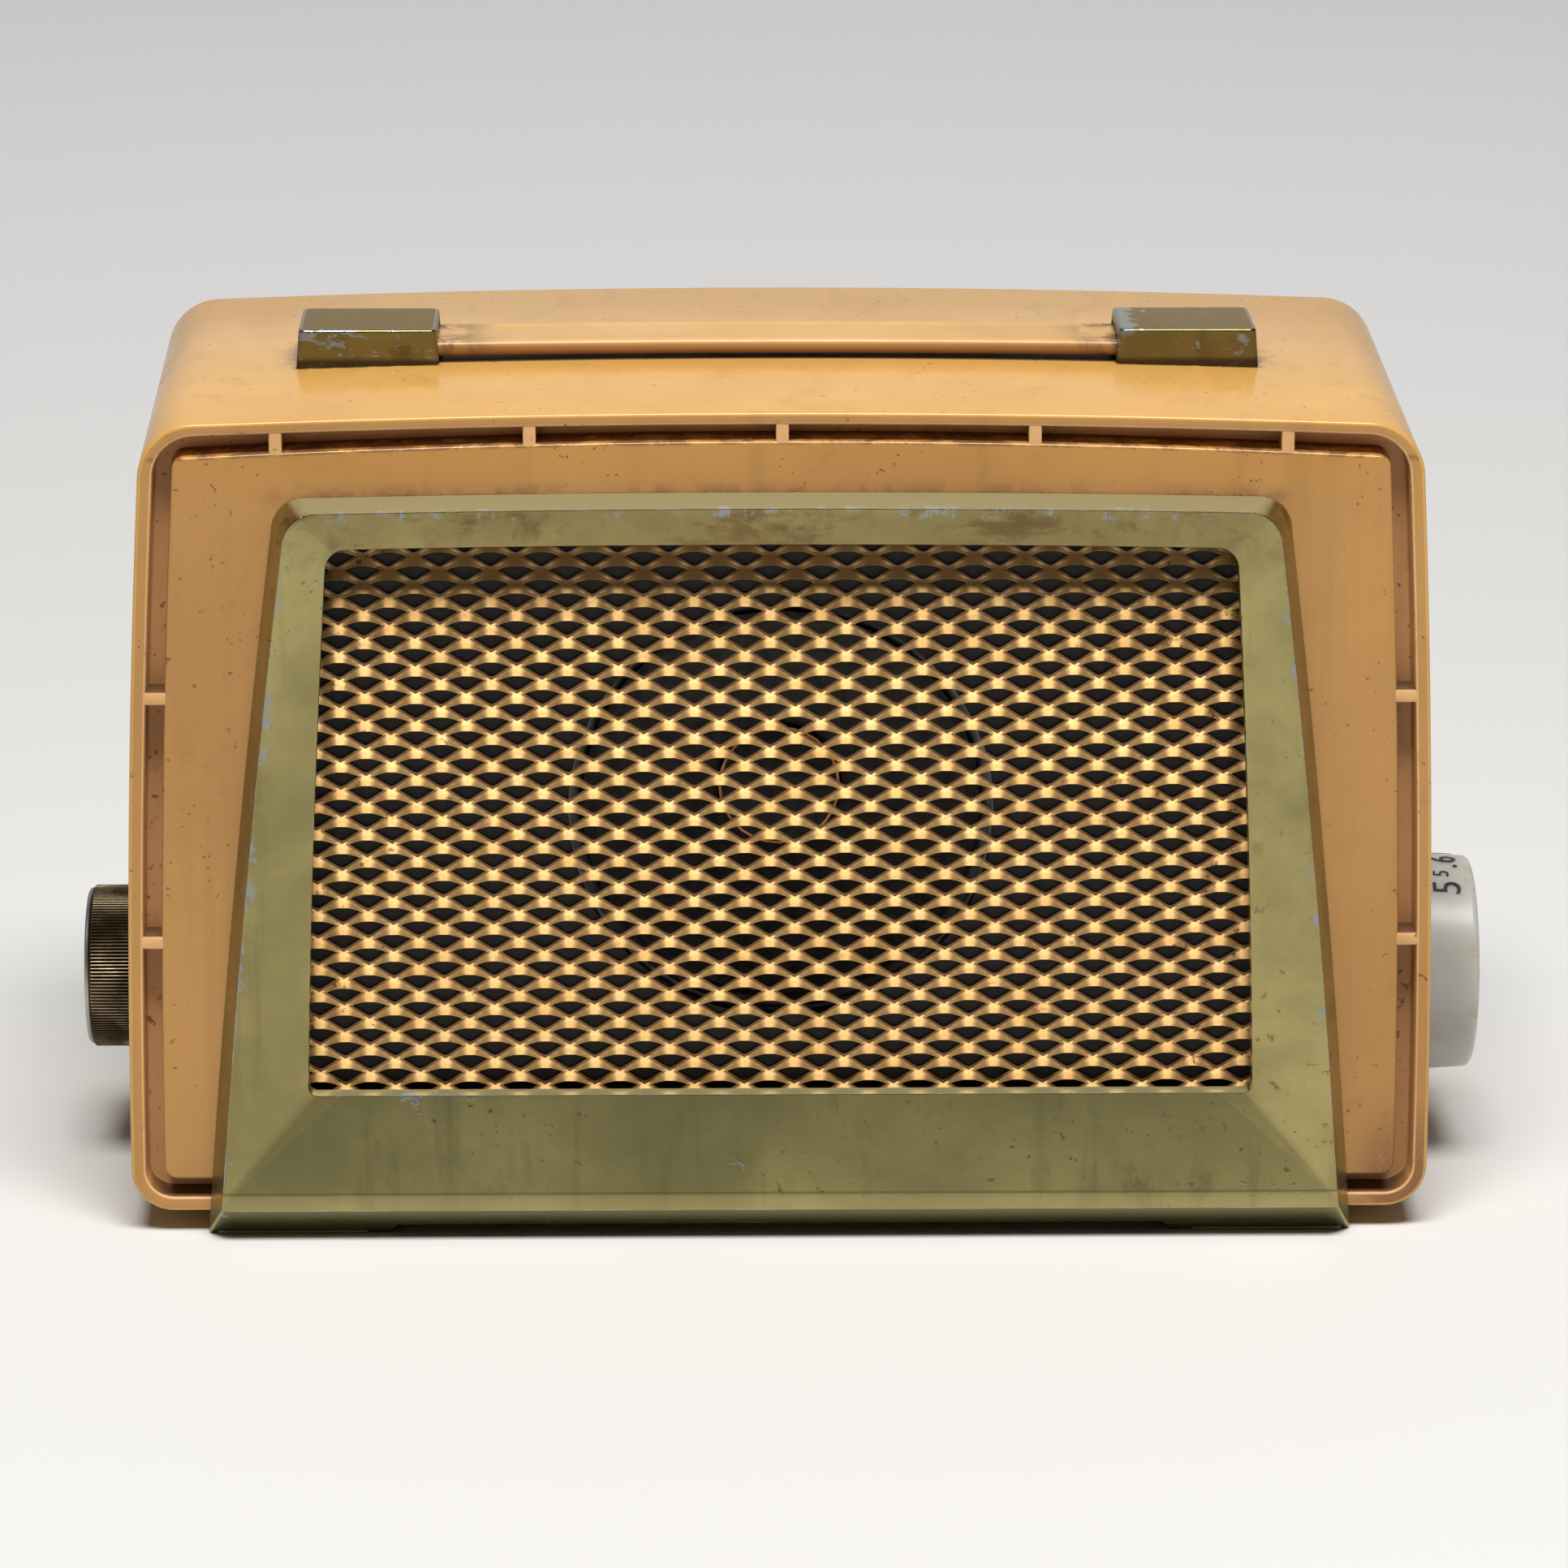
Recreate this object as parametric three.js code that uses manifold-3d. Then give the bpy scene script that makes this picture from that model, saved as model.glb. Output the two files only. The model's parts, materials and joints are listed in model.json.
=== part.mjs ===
// A compact table radio: moulded bakelite cabinet, cast bezel over an expanded metal grille, a flexible strap
// handle, a knob on the left side, a dial drum on the right side, and the five-tube works inside.
// Millimetres. While it is being built, X runs to the right, Y to the back and Z up; y = 0 is the plane of
// the cabinet's front rim and z = 0 is the table. The last lines move the origin to the middle of the base.
import * as THREE from "three";
import { mergeVertices } from "three/addons/utils/BufferGeometryUtils.js";
import Module from "manifold-3d";

const wasm = await Module();
wasm.setup();

// ---------------------------------------------------------------------------------------------------------
// Driving dimensions
// ---------------------------------------------------------------------------------------------------------
const GAP = 0.3; // clearance between pieces that rest on each other

const CABINET = {
  half: 138.2, // half-width at the widest height
  widest: 10, // height of the widest place
  sideBow: 5000, // the sides close in by (z - widest)^2 / sideBow
  bottom: 4.9,
  top: 179.05,
  topBow: 6254, // the top falls by x^2 / topBow
  depth: 124,
  sideDraft: 2, // the moulding is this much wider on each side at the back
  topDraft: 0.6,
  wall: 3,
  topCorner: 12,
  bottomCorner: 9,
};
const GROOVE = { side: 3.1, top: 2.55, bottom: 3.1, depth: 11, floor: 2.5, topCorner: 9, bottomCorner: 6 };
const PANEL = { side: 7.05, top: 6.05, bottom: 7.2, topBow: 4640, thick: 3, corner: 2.8 };
// Ribs bridge the groove: heights is where the top ones lie, reach how far out the side ones lie.
const RIB = { width: 2.7, topX: [0, 52.3, -52.3, 104.7, -104.7], sideZ: [64.7, 118] };
RIB.heights = [168, 177.5];
RIB.reach = [129, 136];

const OPENING = {
  bottom: 31.8,
  top: 151.8,
  topBow: 8900,
  topCorner: 5,
  bottomCorner: 2.5,
  half: (z) => 100.1 - 0.025 * (z - 31.8) - 0.00019 * (z - 31.8) ** 2,
};
const BEZEL = {
  front: -7,
  openingFace: -3.4,
  lipBack: 0.9,
  lipWidth: 2.6,
  top: 162.3,
  topBow: 9170,
  frontTop: 160.35,
  frontBottom: 7.2,
  stripTop: 10.7,
  corner: 7,
  footDepth: 8,
  footInner: 84,
  footHeight: 2.5,
};
const STUD = { radius: 2, length: 11, places: [[110.5, 50], [-110.5, 50], [103.5, 135], [-103.5, 135]] };

// Rows of diamond openings; edge is the plain border left all round, open holds a diamond's half-diagonals.
const GRILLE = { front: 1.2, thick: 2.5, margin: 3.6, pitchX: 21.2, pitchZ: 11.9, edge: 4, open: [6.5, 1.9] };
const BAFFLE = { front: 4, thick: 3, margin: 14, hole: 45 };
const SPEAKER = { z: 92, coil: 12.6, magnet: 19, magnetFront: 34.6, back: 50 };

const AXIS = { y: 58, z: 41.5 }; // both side controls turn on this line
const SHAFT = 3.175;
const SHAFT_HOLE = 4.8; // in the cabinet's side walls
const KNOB = { radius: 17.75, inner: 140.2, face: 150.9, wall: 2.5 };
const DIAL = { radius: 24, outerRadius: 23.3, inner: 140.2, face: 153.1, wall: 2 };

const CAP = { inner: 72.9, outer: 102.2, front: 49.5, back: 72, top: 186, wall: 1.7 };
const STRAP = { bottom: 180.2, top: 183.5, front: 51.3, back: 70.2, grip: 15, mouth: 76, end: 99.4 };
const STRAP_SLOT = { post: 88, travel: 6, half: 3.1 };
const HANDLE_Y = (STRAP.front + STRAP.back) / 2;

const CHASSIS = { half: 112, front: 42, back: 112, top: 27, bottom: 8.4, sheet: 1.2 };
const WELL = { left: 60, back: 82, floor: 18 };
const CHASSIS_SCREWS = [[90, 75], [-90, 75]];
const TUNER = { left: 66, right: 108, front: 41.5, back: 78.5, base: WELL.floor + GAP, top: 60, sheet: 1.4 };
const PLATE = { radius: 15.5, thick: 0.6, pitch: 2.6, count: 6, sections: [70.2, 89.6] };

const REAR_ROW = 95; // the tubes and the tuned transformers stand on this line
const TUBES = { rectifier: -94, output: -66, detector: -8, if_amplifier: 20, converter: 76 };
const TUBE_SEAT = 2.6; // a tube stands this far above the chassis, on its socket
const IF_CANS = { places: [-37, 48], half: 9.5, height: 47 };
const SOCKET_HOLE = 8.6;

const BACK = { front: 118, thick: 3, inset: 3.6 };
const BACK_SCREWS = [[124, 22], [-124, 22], [121, 156], [-121, 156]];
const BOSS = { radius: 4.2, hole: 1.7, front: 96, web: 3 };
const VENTS = { half: 4, pitch: 24 };
const VENT_ROWS = [
  { from: -72, to: 72, low: 64, high: 92 },
  { from: -72, to: 72, low: 104, high: 132 },
  { from: -24, to: 72, low: 12, high: 26 },
];
const INLET = { x: -80, z: 18, halfX: 13, halfZ: 7, length: 11 };
const ANTENNA = { thick: 2, outer: { half: 113, low: 34, high: 158, corner: 24 } };
ANTENNA.inner = { half: 99, low: 48, high: 144, corner: 14 };

// ---------------------------------------------------------------------------------------------------------
// Solids
// ---------------------------------------------------------------------------------------------------------
function solid(geometry) {
  const source = geometry.index ? geometry.toNonIndexed() : geometry;
  const bare = new THREE.BufferGeometry();
  bare.setAttribute("position", source.getAttribute("position"));
  const merged = mergeVertices(bare, 1e-4);
  return new wasm.Manifold(
    new wasm.Mesh({
      numProp: 3,
      vertProperties: merged.attributes.position.array,
      triVerts: new Uint32Array(merged.index.array),
    }),
  );
}

function geometryOf(shape) {
  const mesh = shape.getMesh();
  const geometry = new THREE.BufferGeometry();
  geometry.setAttribute("position", new THREE.BufferAttribute(new Float32Array(mesh.vertProperties), 3));
  geometry.setIndex(new THREE.BufferAttribute(new Uint32Array(mesh.triVerts), 1));
  geometry.computeVertexNormals();
  return geometry;
}

const join = (first, ...rest) => rest.reduce((sum, next) => sum.add(next), first);
const cut = (first, ...rest) => rest.reduce((sum, next) => sum.subtract(next), first);

function block(x0, x1, y0, y1, z0, z1) {
  const box = new THREE.BoxGeometry(x1 - x0, y1 - y0, z1 - z0);
  return solid(box.translate((x0 + x1) / 2, (y0 + y1) / 2, (z0 + z1) / 2));
}

// A cylinder along one axis, from one coordinate to another; place holds its other two coordinates in order.
function rod(axis, radius, from, to, place, segments = 20) {
  const geometry = new THREE.CylinderGeometry(radius, radius, to - from, segments);
  geometry.translate(0, (from + to) / 2, 0);
  return solid(toAxis(geometry, axis, place));
}

// A turned piece: points are (radius, distance along the axis), in either direction round the profile.
function turned(axis, points, place, segments = 32) {
  const profile = points.map(([r, h]) => new THREE.Vector2(r, h));
  if (THREE.ShapeUtils.area(profile) < 0) profile.reverse();
  return solid(toAxis(new THREE.LatheGeometry(profile, segments), axis, place));
}

// Turns a geometry made round the Y axis onto the named axis, keeping its length coordinate.
function toAxis(geometry, axis, [a, b]) {
  if (axis === "x") return geometry.rotateZ(-Math.PI / 2).translate(0, a, b);
  if (axis === "z") return geometry.rotateX(Math.PI / 2).translate(a, b, 0);
  return geometry.translate(a, 0, b);
}

// A closed loop of [x, z] points, anticlockwise seen from the front: bowed sides and top, a flat bottom and
// round corners. half(z) is the half-width and top(x) the height of the upper edge.
function outline({ half, top, bottom, topCorner, bottomCorner, sideSteps = 4, topSteps = 6 }) {
  const cornerSteps = 4;
  const lowZ = bottom + bottomCorner;
  const lowX = half(lowZ) - bottomCorner;
  const highZ = top(half(top(0)) - topCorner) - topCorner;
  const highX = half(highZ) - topCorner;
  const right = [];
  for (let i = 0; i <= cornerSteps; i++) {
    const a = (Math.PI / 2) * (i / cornerSteps);
    right.push([lowX + bottomCorner * Math.sin(a), lowZ - bottomCorner * Math.cos(a)]);
  }
  for (let i = 1; i < sideSteps; i++) {
    const z = lowZ + (highZ - lowZ) * (i / sideSteps);
    right.push([half(z), z]);
  }
  for (let i = 0; i <= cornerSteps; i++) {
    const a = (Math.PI / 2) * (i / cornerSteps);
    right.push([highX + topCorner * Math.cos(a), highZ + topCorner * Math.sin(a)]);
  }
  for (let i = 1; i < topSteps / 2; i++) {
    const x = highX * (1 - (2 * i) / topSteps);
    right.push([x, top(x)]);
  }
  const left = right.map(([x, z]) => [-x, z]).reverse();
  return [...right, [0, top(0)], ...left];
}

const at = (loop, y) => loop.map(([x, z]) => new THREE.Vector3(x, y, z));

// Skins loops of equal length in turn: closed ends make a solid, ring = true joins the last to the first.
function loft(loops, ring = false) {
  const count = loops[0].length;
  const corners = [];
  const face = (...points) => corners.push(...points);
  const bands = ring ? loops.length : loops.length - 1;
  for (let k = 0; k < bands; k++) {
    const a = loops[k];
    const b = loops[(k + 1) % loops.length];
    for (let i = 0; i < count; i++) {
      const j = (i + 1) % count;
      face(a[i], b[i], a[j]);
      face(a[j], b[i], b[j]);
    }
  }
  if (!ring) {
    const first = loops[0];
    const last = loops[loops.length - 1];
    const flat = first.map((p) => new THREE.Vector2(p.x, p.z));
    for (const [i, j, k] of THREE.ShapeUtils.triangulateShape(flat, [])) {
      face(first[i], first[j], first[k]);
      face(last[i], last[k], last[j]);
    }
  }
  const geometry = new THREE.BufferGeometry().setFromPoints(corners);
  return solid(geometry);
}

const prism = (loop, y0, y1) => loft([at(loop, y0), at(loop, y1)]);

// ---------------------------------------------------------------------------------------------------------
// Outlines shared by several pieces
// ---------------------------------------------------------------------------------------------------------
function cabinetLoop(y, { side, top, bottom, topBow = CABINET.topBow, topCorner, bottomCorner }) {
  const share = y / CABINET.depth;
  return outline({
    half: (z) => {
      const bow = (z - CABINET.widest) ** 2 / CABINET.sideBow;
      return CABINET.half - bow + CABINET.sideDraft * share - side;
    },
    top: (x) => CABINET.top - x ** 2 / topBow + CABINET.topDraft * share - top,
    bottom: CABINET.bottom + bottom,
    topCorner,
    bottomCorner,
  });
}

const insetCabinet = (y, inset) =>
  cabinetLoop(y, {
    side: inset,
    top: inset,
    bottom: inset,
    topCorner: CABINET.topCorner - inset,
    bottomCorner: CABINET.bottomCorner - inset,
  });

// The opening in the bezel, grown by a margin for the pieces that lie behind it.
function openingLoop(margin) {
  return outline({
    half: (z) => OPENING.half(z) + margin,
    top: (x) => OPENING.top - x ** 2 / OPENING.topBow + margin,
    bottom: OPENING.bottom - margin,
    topCorner: OPENING.topCorner + Math.min(margin, 3),
    bottomCorner: OPENING.bottomCorner + Math.min(margin, 3),
  });
}

// The bezel's outside: narrower at the front than at the back.
function bezelLoop(width, top, bottom, bottomCorner) {
  return outline({
    half: (z) => width - 0.0765 * z - 0.00018 * z ** 2,
    top: (x) => top - x ** 2 / BEZEL.topBow,
    bottom,
    topCorner: BEZEL.corner,
    bottomCorner,
  });
}

// ---------------------------------------------------------------------------------------------------------
// Cabinet, bezel and grille
// ---------------------------------------------------------------------------------------------------------
function cabinetShell() {
  const { depth, wall } = CABINET;
  const frontLoop = insetCabinet(0, 0);
  const body = loft([at(frontLoop, 0), at(insetCabinet(depth, 0), depth)]);
  const cavityFront = GROOVE.depth + GROOVE.floor;
  const cavity = loft([at(insetCabinet(cavityFront, wall), cavityFront), at(insetCabinet(depth, wall), depth + 1)]);

  const panelShape = { ...PANEL, topCorner: PANEL.corner, bottomCorner: PANEL.corner };
  const panel = prism(cabinetLoop(0, panelShape), -1, GROOVE.depth + 1);
  const grooveOuter = prism(cabinetLoop(0, GROOVE), -1, GROOVE.depth);
  const panelInner = cabinetLoop(0, {
    ...panelShape,
    side: PANEL.side + wall,
    top: PANEL.top + wall,
    bottom: PANEL.bottom + wall,
  });
  const panelHollow = prism(panelInner, PANEL.thick, cavityFront + 1);
  const panelOpening = prism(openingLoop(4.5), -1, PANEL.thick + 1);
  let shell = cut(body, cavity, cut(grooveOuter, panel), panelHollow, panelOpening);

  const ribs = [];
  const half = RIB.width / 2;
  const [low, high] = RIB.heights;
  for (const x of RIB.topX) ribs.push(block(x - half, x + half, 0, GROOVE.depth + 1, low, high));
  const [near, far] = RIB.reach;
  for (const z of RIB.sideZ) {
    ribs.push(block(near, far, 0, GROOVE.depth + 1, z - half, z + half));
    ribs.push(block(-far, -near, 0, GROOVE.depth + 1, z - half, z + half));
  }
  shell = shell.add(cut(join(...ribs), cut(panelHollow, block(-200, 200, -5, PANEL.thick, 0, 200))));

  const bossBack = BACK.front - GAP;
  for (const [x, z] of BACK_SCREWS) {
    const wallMiddle = CABINET.half - (z - CABINET.widest) ** 2 / CABINET.sideBow;
    const wallX = Math.sign(x) * wallMiddle;
    const webHalf = BOSS.web / 2;
    const web = block(Math.min(x, wallX), Math.max(x, wallX), BOSS.front, bossBack, z - webHalf, z + webHalf);
    shell = shell.add(join(rod("y", BOSS.radius, BOSS.front, bossBack, [x, z], 16), web));
    shell = shell.subtract(rod("y", BOSS.hole, BOSS.front + 3, bossBack + 1, [x, z], 12));
  }
  const holes = [
    rod("x", SHAFT_HOLE, CABINET.half - 8, CABINET.half + 5, [AXIS.y, AXIS.z]),
    rod("x", SHAFT_HOLE, -CABINET.half - 5, 8 - CABINET.half, [AXIS.y, AXIS.z]),
    ...STUD.places.map(([x, z]) => rod("y", STUD.radius + 0.4, -1, PANEL.thick + 1, [x, z], 12)),
    ...CHASSIS_SCREWS.map(([x, y]) => rod("z", 2, CABINET.bottom - 1, CABINET.bottom + wall + 1, [x, y], 12)),
    ...[1, -1].map((s) => rod("z", 1.7, 170, 185, [s * STRAP_SLOT.post, HANDLE_Y], 12)),
  ];
  return cut(shell, ...holes);
}

function bezel() {
  const backOuter = bezelLoop(122, BEZEL.top, 0, 0.6);
  const frontOuter = bezelLoop(119.2, BEZEL.frontTop, BEZEL.frontBottom, 0.6);
  const frontInner = bezelLoop(118.2, BEZEL.frontTop - 1, BEZEL.stripTop, 0.6);
  const opening = openingLoop(0);
  const lip = openingLoop(BEZEL.lipWidth);
  let frame = loft(
    [
      at(frontOuter, BEZEL.front),
      at(backOuter, -GAP),
      at(lip, -GAP),
      at(lip, BEZEL.lipBack),
      at(opening, BEZEL.lipBack),
      at(opening, BEZEL.openingFace),
      at(frontInner, BEZEL.front + 0.3),
    ],
    true,
  );
  const sole = CABINET.bottom - GAP;
  for (const side of [1, -1]) {
    const inner = side * (BEZEL.footInner + 4);
    const outer = side * 120;
    const foot = block(Math.min(inner, outer), Math.max(inner, outer), -1, BEZEL.footDepth, 0, sole);
    frame = frame.add(foot);
  }
  const studs = STUD.places.map(([x, z]) => rod("y", STUD.radius, -1, STUD.length, [x, z], 16));
  const arch = new THREE.Shape();
  arch.moveTo(-BEZEL.footInner, -1);
  arch.lineTo(BEZEL.footInner, -1);
  arch.lineTo(BEZEL.footInner - BEZEL.footHeight, BEZEL.footHeight);
  arch.lineTo(-BEZEL.footInner + BEZEL.footHeight, BEZEL.footHeight);
  const archSolid = new THREE.ExtrudeGeometry(arch, { depth: 20, bevelEnabled: false });
  archSolid.rotateX(Math.PI / 2).translate(0, 10, 0);
  return cut(join(frame, ...studs), solid(archSolid));
}

function hexNut(axis, acrossFlats, bore, from, to, place) {
  return cut(rod(axis, acrossFlats / Math.sqrt(3), from, to, place, 6), rod(axis, bore, from - 1, to + 1, place, 12));
}

// Expanded metal, drawn as a plate with rows of diamond openings, each row set half a pitch from the next.
function grilleMesh() {
  const { front, thick, margin, pitchX, pitchZ, edge, open } = GRILLE;
  const plate = prism(openingLoop(margin), front, front + thick);
  const [halfX, halfZ] = open;
  const diamonds = [];
  const rows = Math.floor((OPENING.top - OPENING.bottom - edge) / (pitchZ / 2));
  for (let row = 0; row <= rows; row++) {
    const z = OPENING.bottom + edge + row * (pitchZ / 2);
    const shift = row % 2 ? pitchX / 2 : 0;
    for (let x = -5 * pitchX + shift; x <= 5 * pitchX; x += pitchX) {
      if (Math.abs(x) + halfX > OPENING.half(z) - edge || z + halfZ > OPENING.top - edge / 2) continue;
      const loop = [[x, z - halfZ], [x + halfX, z], [x, z + halfZ], [x - halfX, z]];
      diamonds.push(prism(loop, front - 1, front + thick + 1));
    }
  }
  return cut(plate, join(...diamonds));
}

function speakerBaffle() {
  const { front, thick, margin, hole } = BAFFLE;
  const board = prism(openingLoop(margin), front, front + thick);
  const studHoles = STUD.places.map(([x, z]) => rod("y", STUD.radius + 0.4, front - 1, front + thick + 1, [x, z], 12));
  return cut(board, rod("y", hole, front - 1, front + thick + 1, [0, SPEAKER.z], 40), ...studHoles);
}

// ---------------------------------------------------------------------------------------------------------
// Loudspeaker: the basket carries the magnet; the cone, its coil and its dust cap move together
// ---------------------------------------------------------------------------------------------------------
const speakerPlace = [0, SPEAKER.z];

function speakerBasket() {
  const profile = [
    [44.5, 7.3], [51, 7.3], [51, 8.6], [47.5, 8.6], [28, 31], [24, 31], [24, 34.2], [15, 34.2], [15, 33], [22.6, 33],
    [22.6, 29.6], [27.2, 29.6], [44.5, 9.8], [44.5, 7.3],
  ];
  let basket = turned("y", profile, speakerPlace, 28);
  for (const turn of [1, 3]) {
    const windows = new THREE.BoxGeometry(28, 13, 110).translate(0, 19, 0);
    windows.rotateY((Math.PI / 4) * turn).translate(0, 0, SPEAKER.z);
    basket = basket.subtract(solid(windows));
  }
  return basket;
}

function speakerMagnet() {
  const { coil, magnet, magnetFront, back } = SPEAKER;
  const bottom = back - 4;
  const profile = [
    [0, magnetFront], [coil - 0.9, magnetFront], [coil - 0.9, bottom], [coil + 1, bottom], [coil + 1, magnetFront],
    [magnet, magnetFront], [magnet, back], [0, back],
  ];
  return turned("y", profile, speakerPlace, 24);
}

function speakerCone() {
  const profile = [
    [13.4, 26.4], [39.4, 11.2], [40.8, 10], [42.2, 10.3], [42.2, 11], [41, 10.8], [39.6, 12.3], [13.4, 27.6],
    [13.4, 26.4],
  ];
  return turned("y", profile, speakerPlace, 28);
}

function voiceCoil() {
  const { coil } = SPEAKER;
  const profile = [[coil - 0.4, 24.5], [coil + 0.4, 24.5], [coil + 0.4, 42], [coil - 0.4, 42], [coil - 0.4, 24.5]];
  return turned("y", profile, speakerPlace, 28);
}

function dustCap() {
  const profile = [[0, 20.6], [6, 21.4], [10.4, 23], [12.4, 24], [12.4, 24.2], [10, 23.8], [6, 22.2], [0, 21.4]];
  return turned("y", profile, speakerPlace, 28);
}

function spider() {
  const profile = [[13.4, 30.4], [22.1, 30.4], [22.1, 31.1], [13.4, 31.1], [13.4, 30.4]];
  return turned("y", profile, speakerPlace, 28);
}

// ---------------------------------------------------------------------------------------------------------
// Handle: a flexible strap whose slotted ends slide on posts under two hollow caps
// ---------------------------------------------------------------------------------------------------------
function handleCap(side) {
  const { inner, outer, front, back, top, wall } = CAP;
  const roof = top - 2.1;
  const under = 172;
  const section = (x, flare) => [
    new THREE.Vector3(x, front - flare, under),
    new THREE.Vector3(x, back + flare, under),
    new THREE.Vector3(x, back, top),
    new THREE.Vector3(x, front, top),
  ];
  const corners = [section(inner, 0.3), section(outer, 0.5)];
  const points = [];
  for (const loop of corners) points.push(...loop.map((p) => new THREE.Vector3(side * p.x, p.y, p.z)));
  const quads = [[0, 1, 2, 3], [7, 6, 5, 4], [0, 4, 5, 1], [1, 5, 6, 2], [2, 6, 7, 3], [3, 7, 4, 0]];
  const skin = [];
  for (const [a, b, c, d] of quads) {
    const order = side > 0 ? [a, d, c, a, c, b] : [a, b, c, a, c, d];
    skin.push(...order.map((i) => points[i]));
  }
  const body = solid(new THREE.BufferGeometry().setFromPoints(skin));
  const reach = [side * (inner - 1), side * (outer - wall - 0.3)].sort((a, b) => a - b);
  const hollow = block(...reach, front + wall - 0.2, back - wall + 0.2, under - 1, roof);
  const place = [side * STRAP_SLOT.post, HANDLE_Y];
  const post = cut(rod("z", 2.6, under, roof + 1, place, 16), rod("z", 1.5, under - 1, roof - 0.5, place, 12));
  const grown = loft([at(insetCabinet(0, -GAP), 0), at(insetCabinet(CABINET.depth, -GAP), CABINET.depth)]);
  return cut(join(cut(body, hollow), post), grown);
}

const strapPiece = (x0, x1) => block(x0, x1, STRAP.front, STRAP.back, STRAP.bottom, STRAP.top);

function strapFlex(side) {
  const ends = [side * (STRAP.grip + GAP), side * (STRAP.mouth - GAP)].sort((a, b) => a - b);
  return strapPiece(...ends);
}

function strapEnd(side) {
  const ends = [side * STRAP.mouth, side * STRAP.end].sort((a, b) => a - b);
  const { post, travel, half } = STRAP_SLOT;
  const slot = [side * (post - half), side * (post + travel + half)].sort((a, b) => a - b);
  return cut(strapPiece(...ends), block(...slot, HANDLE_Y - half, HANDLE_Y + half, STRAP.bottom - 1, STRAP.top + 1));
}

// A machine screw: head below, shank up, its head's upper face at z = 0.
function screw(headRadius, headHeight, shankRadius, length) {
  const profile = [
    [0, -headHeight], [headRadius * 0.7, -headHeight], [headRadius, -headHeight * 0.5], [headRadius, 0],
    [shankRadius, 0], [shankRadius, length], [0, length],
  ];
  const slot = block(-headRadius - 1, headRadius + 1, -0.5, 0.5, -headHeight - 1, -headHeight * 0.45);
  return cut(turned("z", profile, [0, 0], 12), slot);
}

// ---------------------------------------------------------------------------------------------------------
// Side controls
// ---------------------------------------------------------------------------------------------------------
const axisPlace = [AXIS.y, AXIS.z];

// A cup with a bored hub, open towards the cabinet. It is drawn for the right side; side = -1 mirrors it.
function controlCup(side, radius, outerRadius, inner, face, wall, hub) {
  const bore = SHAFT + GAP;
  const edge = 1.6;
  const profile = [
    [0, face], [outerRadius - edge - 3, face - 0.15], [outerRadius - edge, face - 0.4], [outerRadius, face - edge],
    [radius, inner], [radius - wall, inner], [outerRadius - wall, face - wall - 1.2], [hub, face - wall - 0.6],
    [hub, inner + 1.5], [bore, inner + 1.5], [bore, face - wall - 0.6], [0, face - wall - 0.6],
  ].map(([r, x]) => [r, side * x]);
  return turned("x", profile, axisPlace, 36);
}

function volumePot() {
  const bore = SHAFT + GAP;
  const profile = [
    [0, -96.5], [9, -96.5], [12, -97.5], [12, -110.5], [4.6, -110.5], [4.6, -119], [bore, -119], [bore, -104],
    [0, -104],
  ];
  const lugs = block(-106, -104.8, AXIS.y - 7, AXIS.y + 7, AXIS.z + 10, AXIS.z + 17);
  return join(turned("x", profile, axisPlace, 32), lugs);
}

function tuningFrame() {
  const { left, right, front, back, base, top, sheet } = TUNER;
  const uprights = [left, (left + right) / 2 - sheet / 2 - 0.4, right - sheet].map((x) =>
    block(x, x + sheet, front, back, base, top),
  );
  const floor = block(left, right, front, back, base, base + sheet);
  return cut(join(floor, ...uprights), rod("x", SHAFT + 0.35, left - 1, right + 1, axisPlace, 24));
}

function tuningRotor() {
  const { radius, thick, pitch, count, sections } = PLATE;
  const front = block(sections[0] - 5, sections[1] + 20, AXIS.y - 40, AXIS.y - 1.5, AXIS.z - 20, AXIS.z + 20);
  let rotor = rod("x", SHAFT, TUNER.left - 2, DIAL.face - DIAL.wall - 1.2, axisPlace, 24);
  for (const start of sections) {
    for (let k = 0; k < count; k++) {
      const x = start + k * pitch;
      rotor = rotor.add(rod("x", radius, x, x + thick, axisPlace, 20).subtract(front));
    }
  }
  return rotor;
}

// Fixed plates between the moving ones, held on one bar that clears the moving plates' edge.
function tuningStator(start) {
  const { radius, thick, pitch, count } = PLATE;
  const barY = AXIS.y + radius + 2;
  const from = start + pitch / 2;
  const to = from + (count - 2) * pitch + thick;
  const plates = [];
  for (let k = 0; k < count - 1; k++) {
    const x = from + k * pitch;
    plates.push(block(x, x + thick, AXIS.y + 2, barY + 1.2, AXIS.z - 14, AXIS.z + 14));
  }
  const hollow = rod("x", 6.5, from - 1, to + 1, axisPlace, 20);
  return join(cut(join(...plates), hollow), block(from, to, barY - 1, barY + 1.2, AXIS.z - 3, AXIS.z + 3));
}

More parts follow.
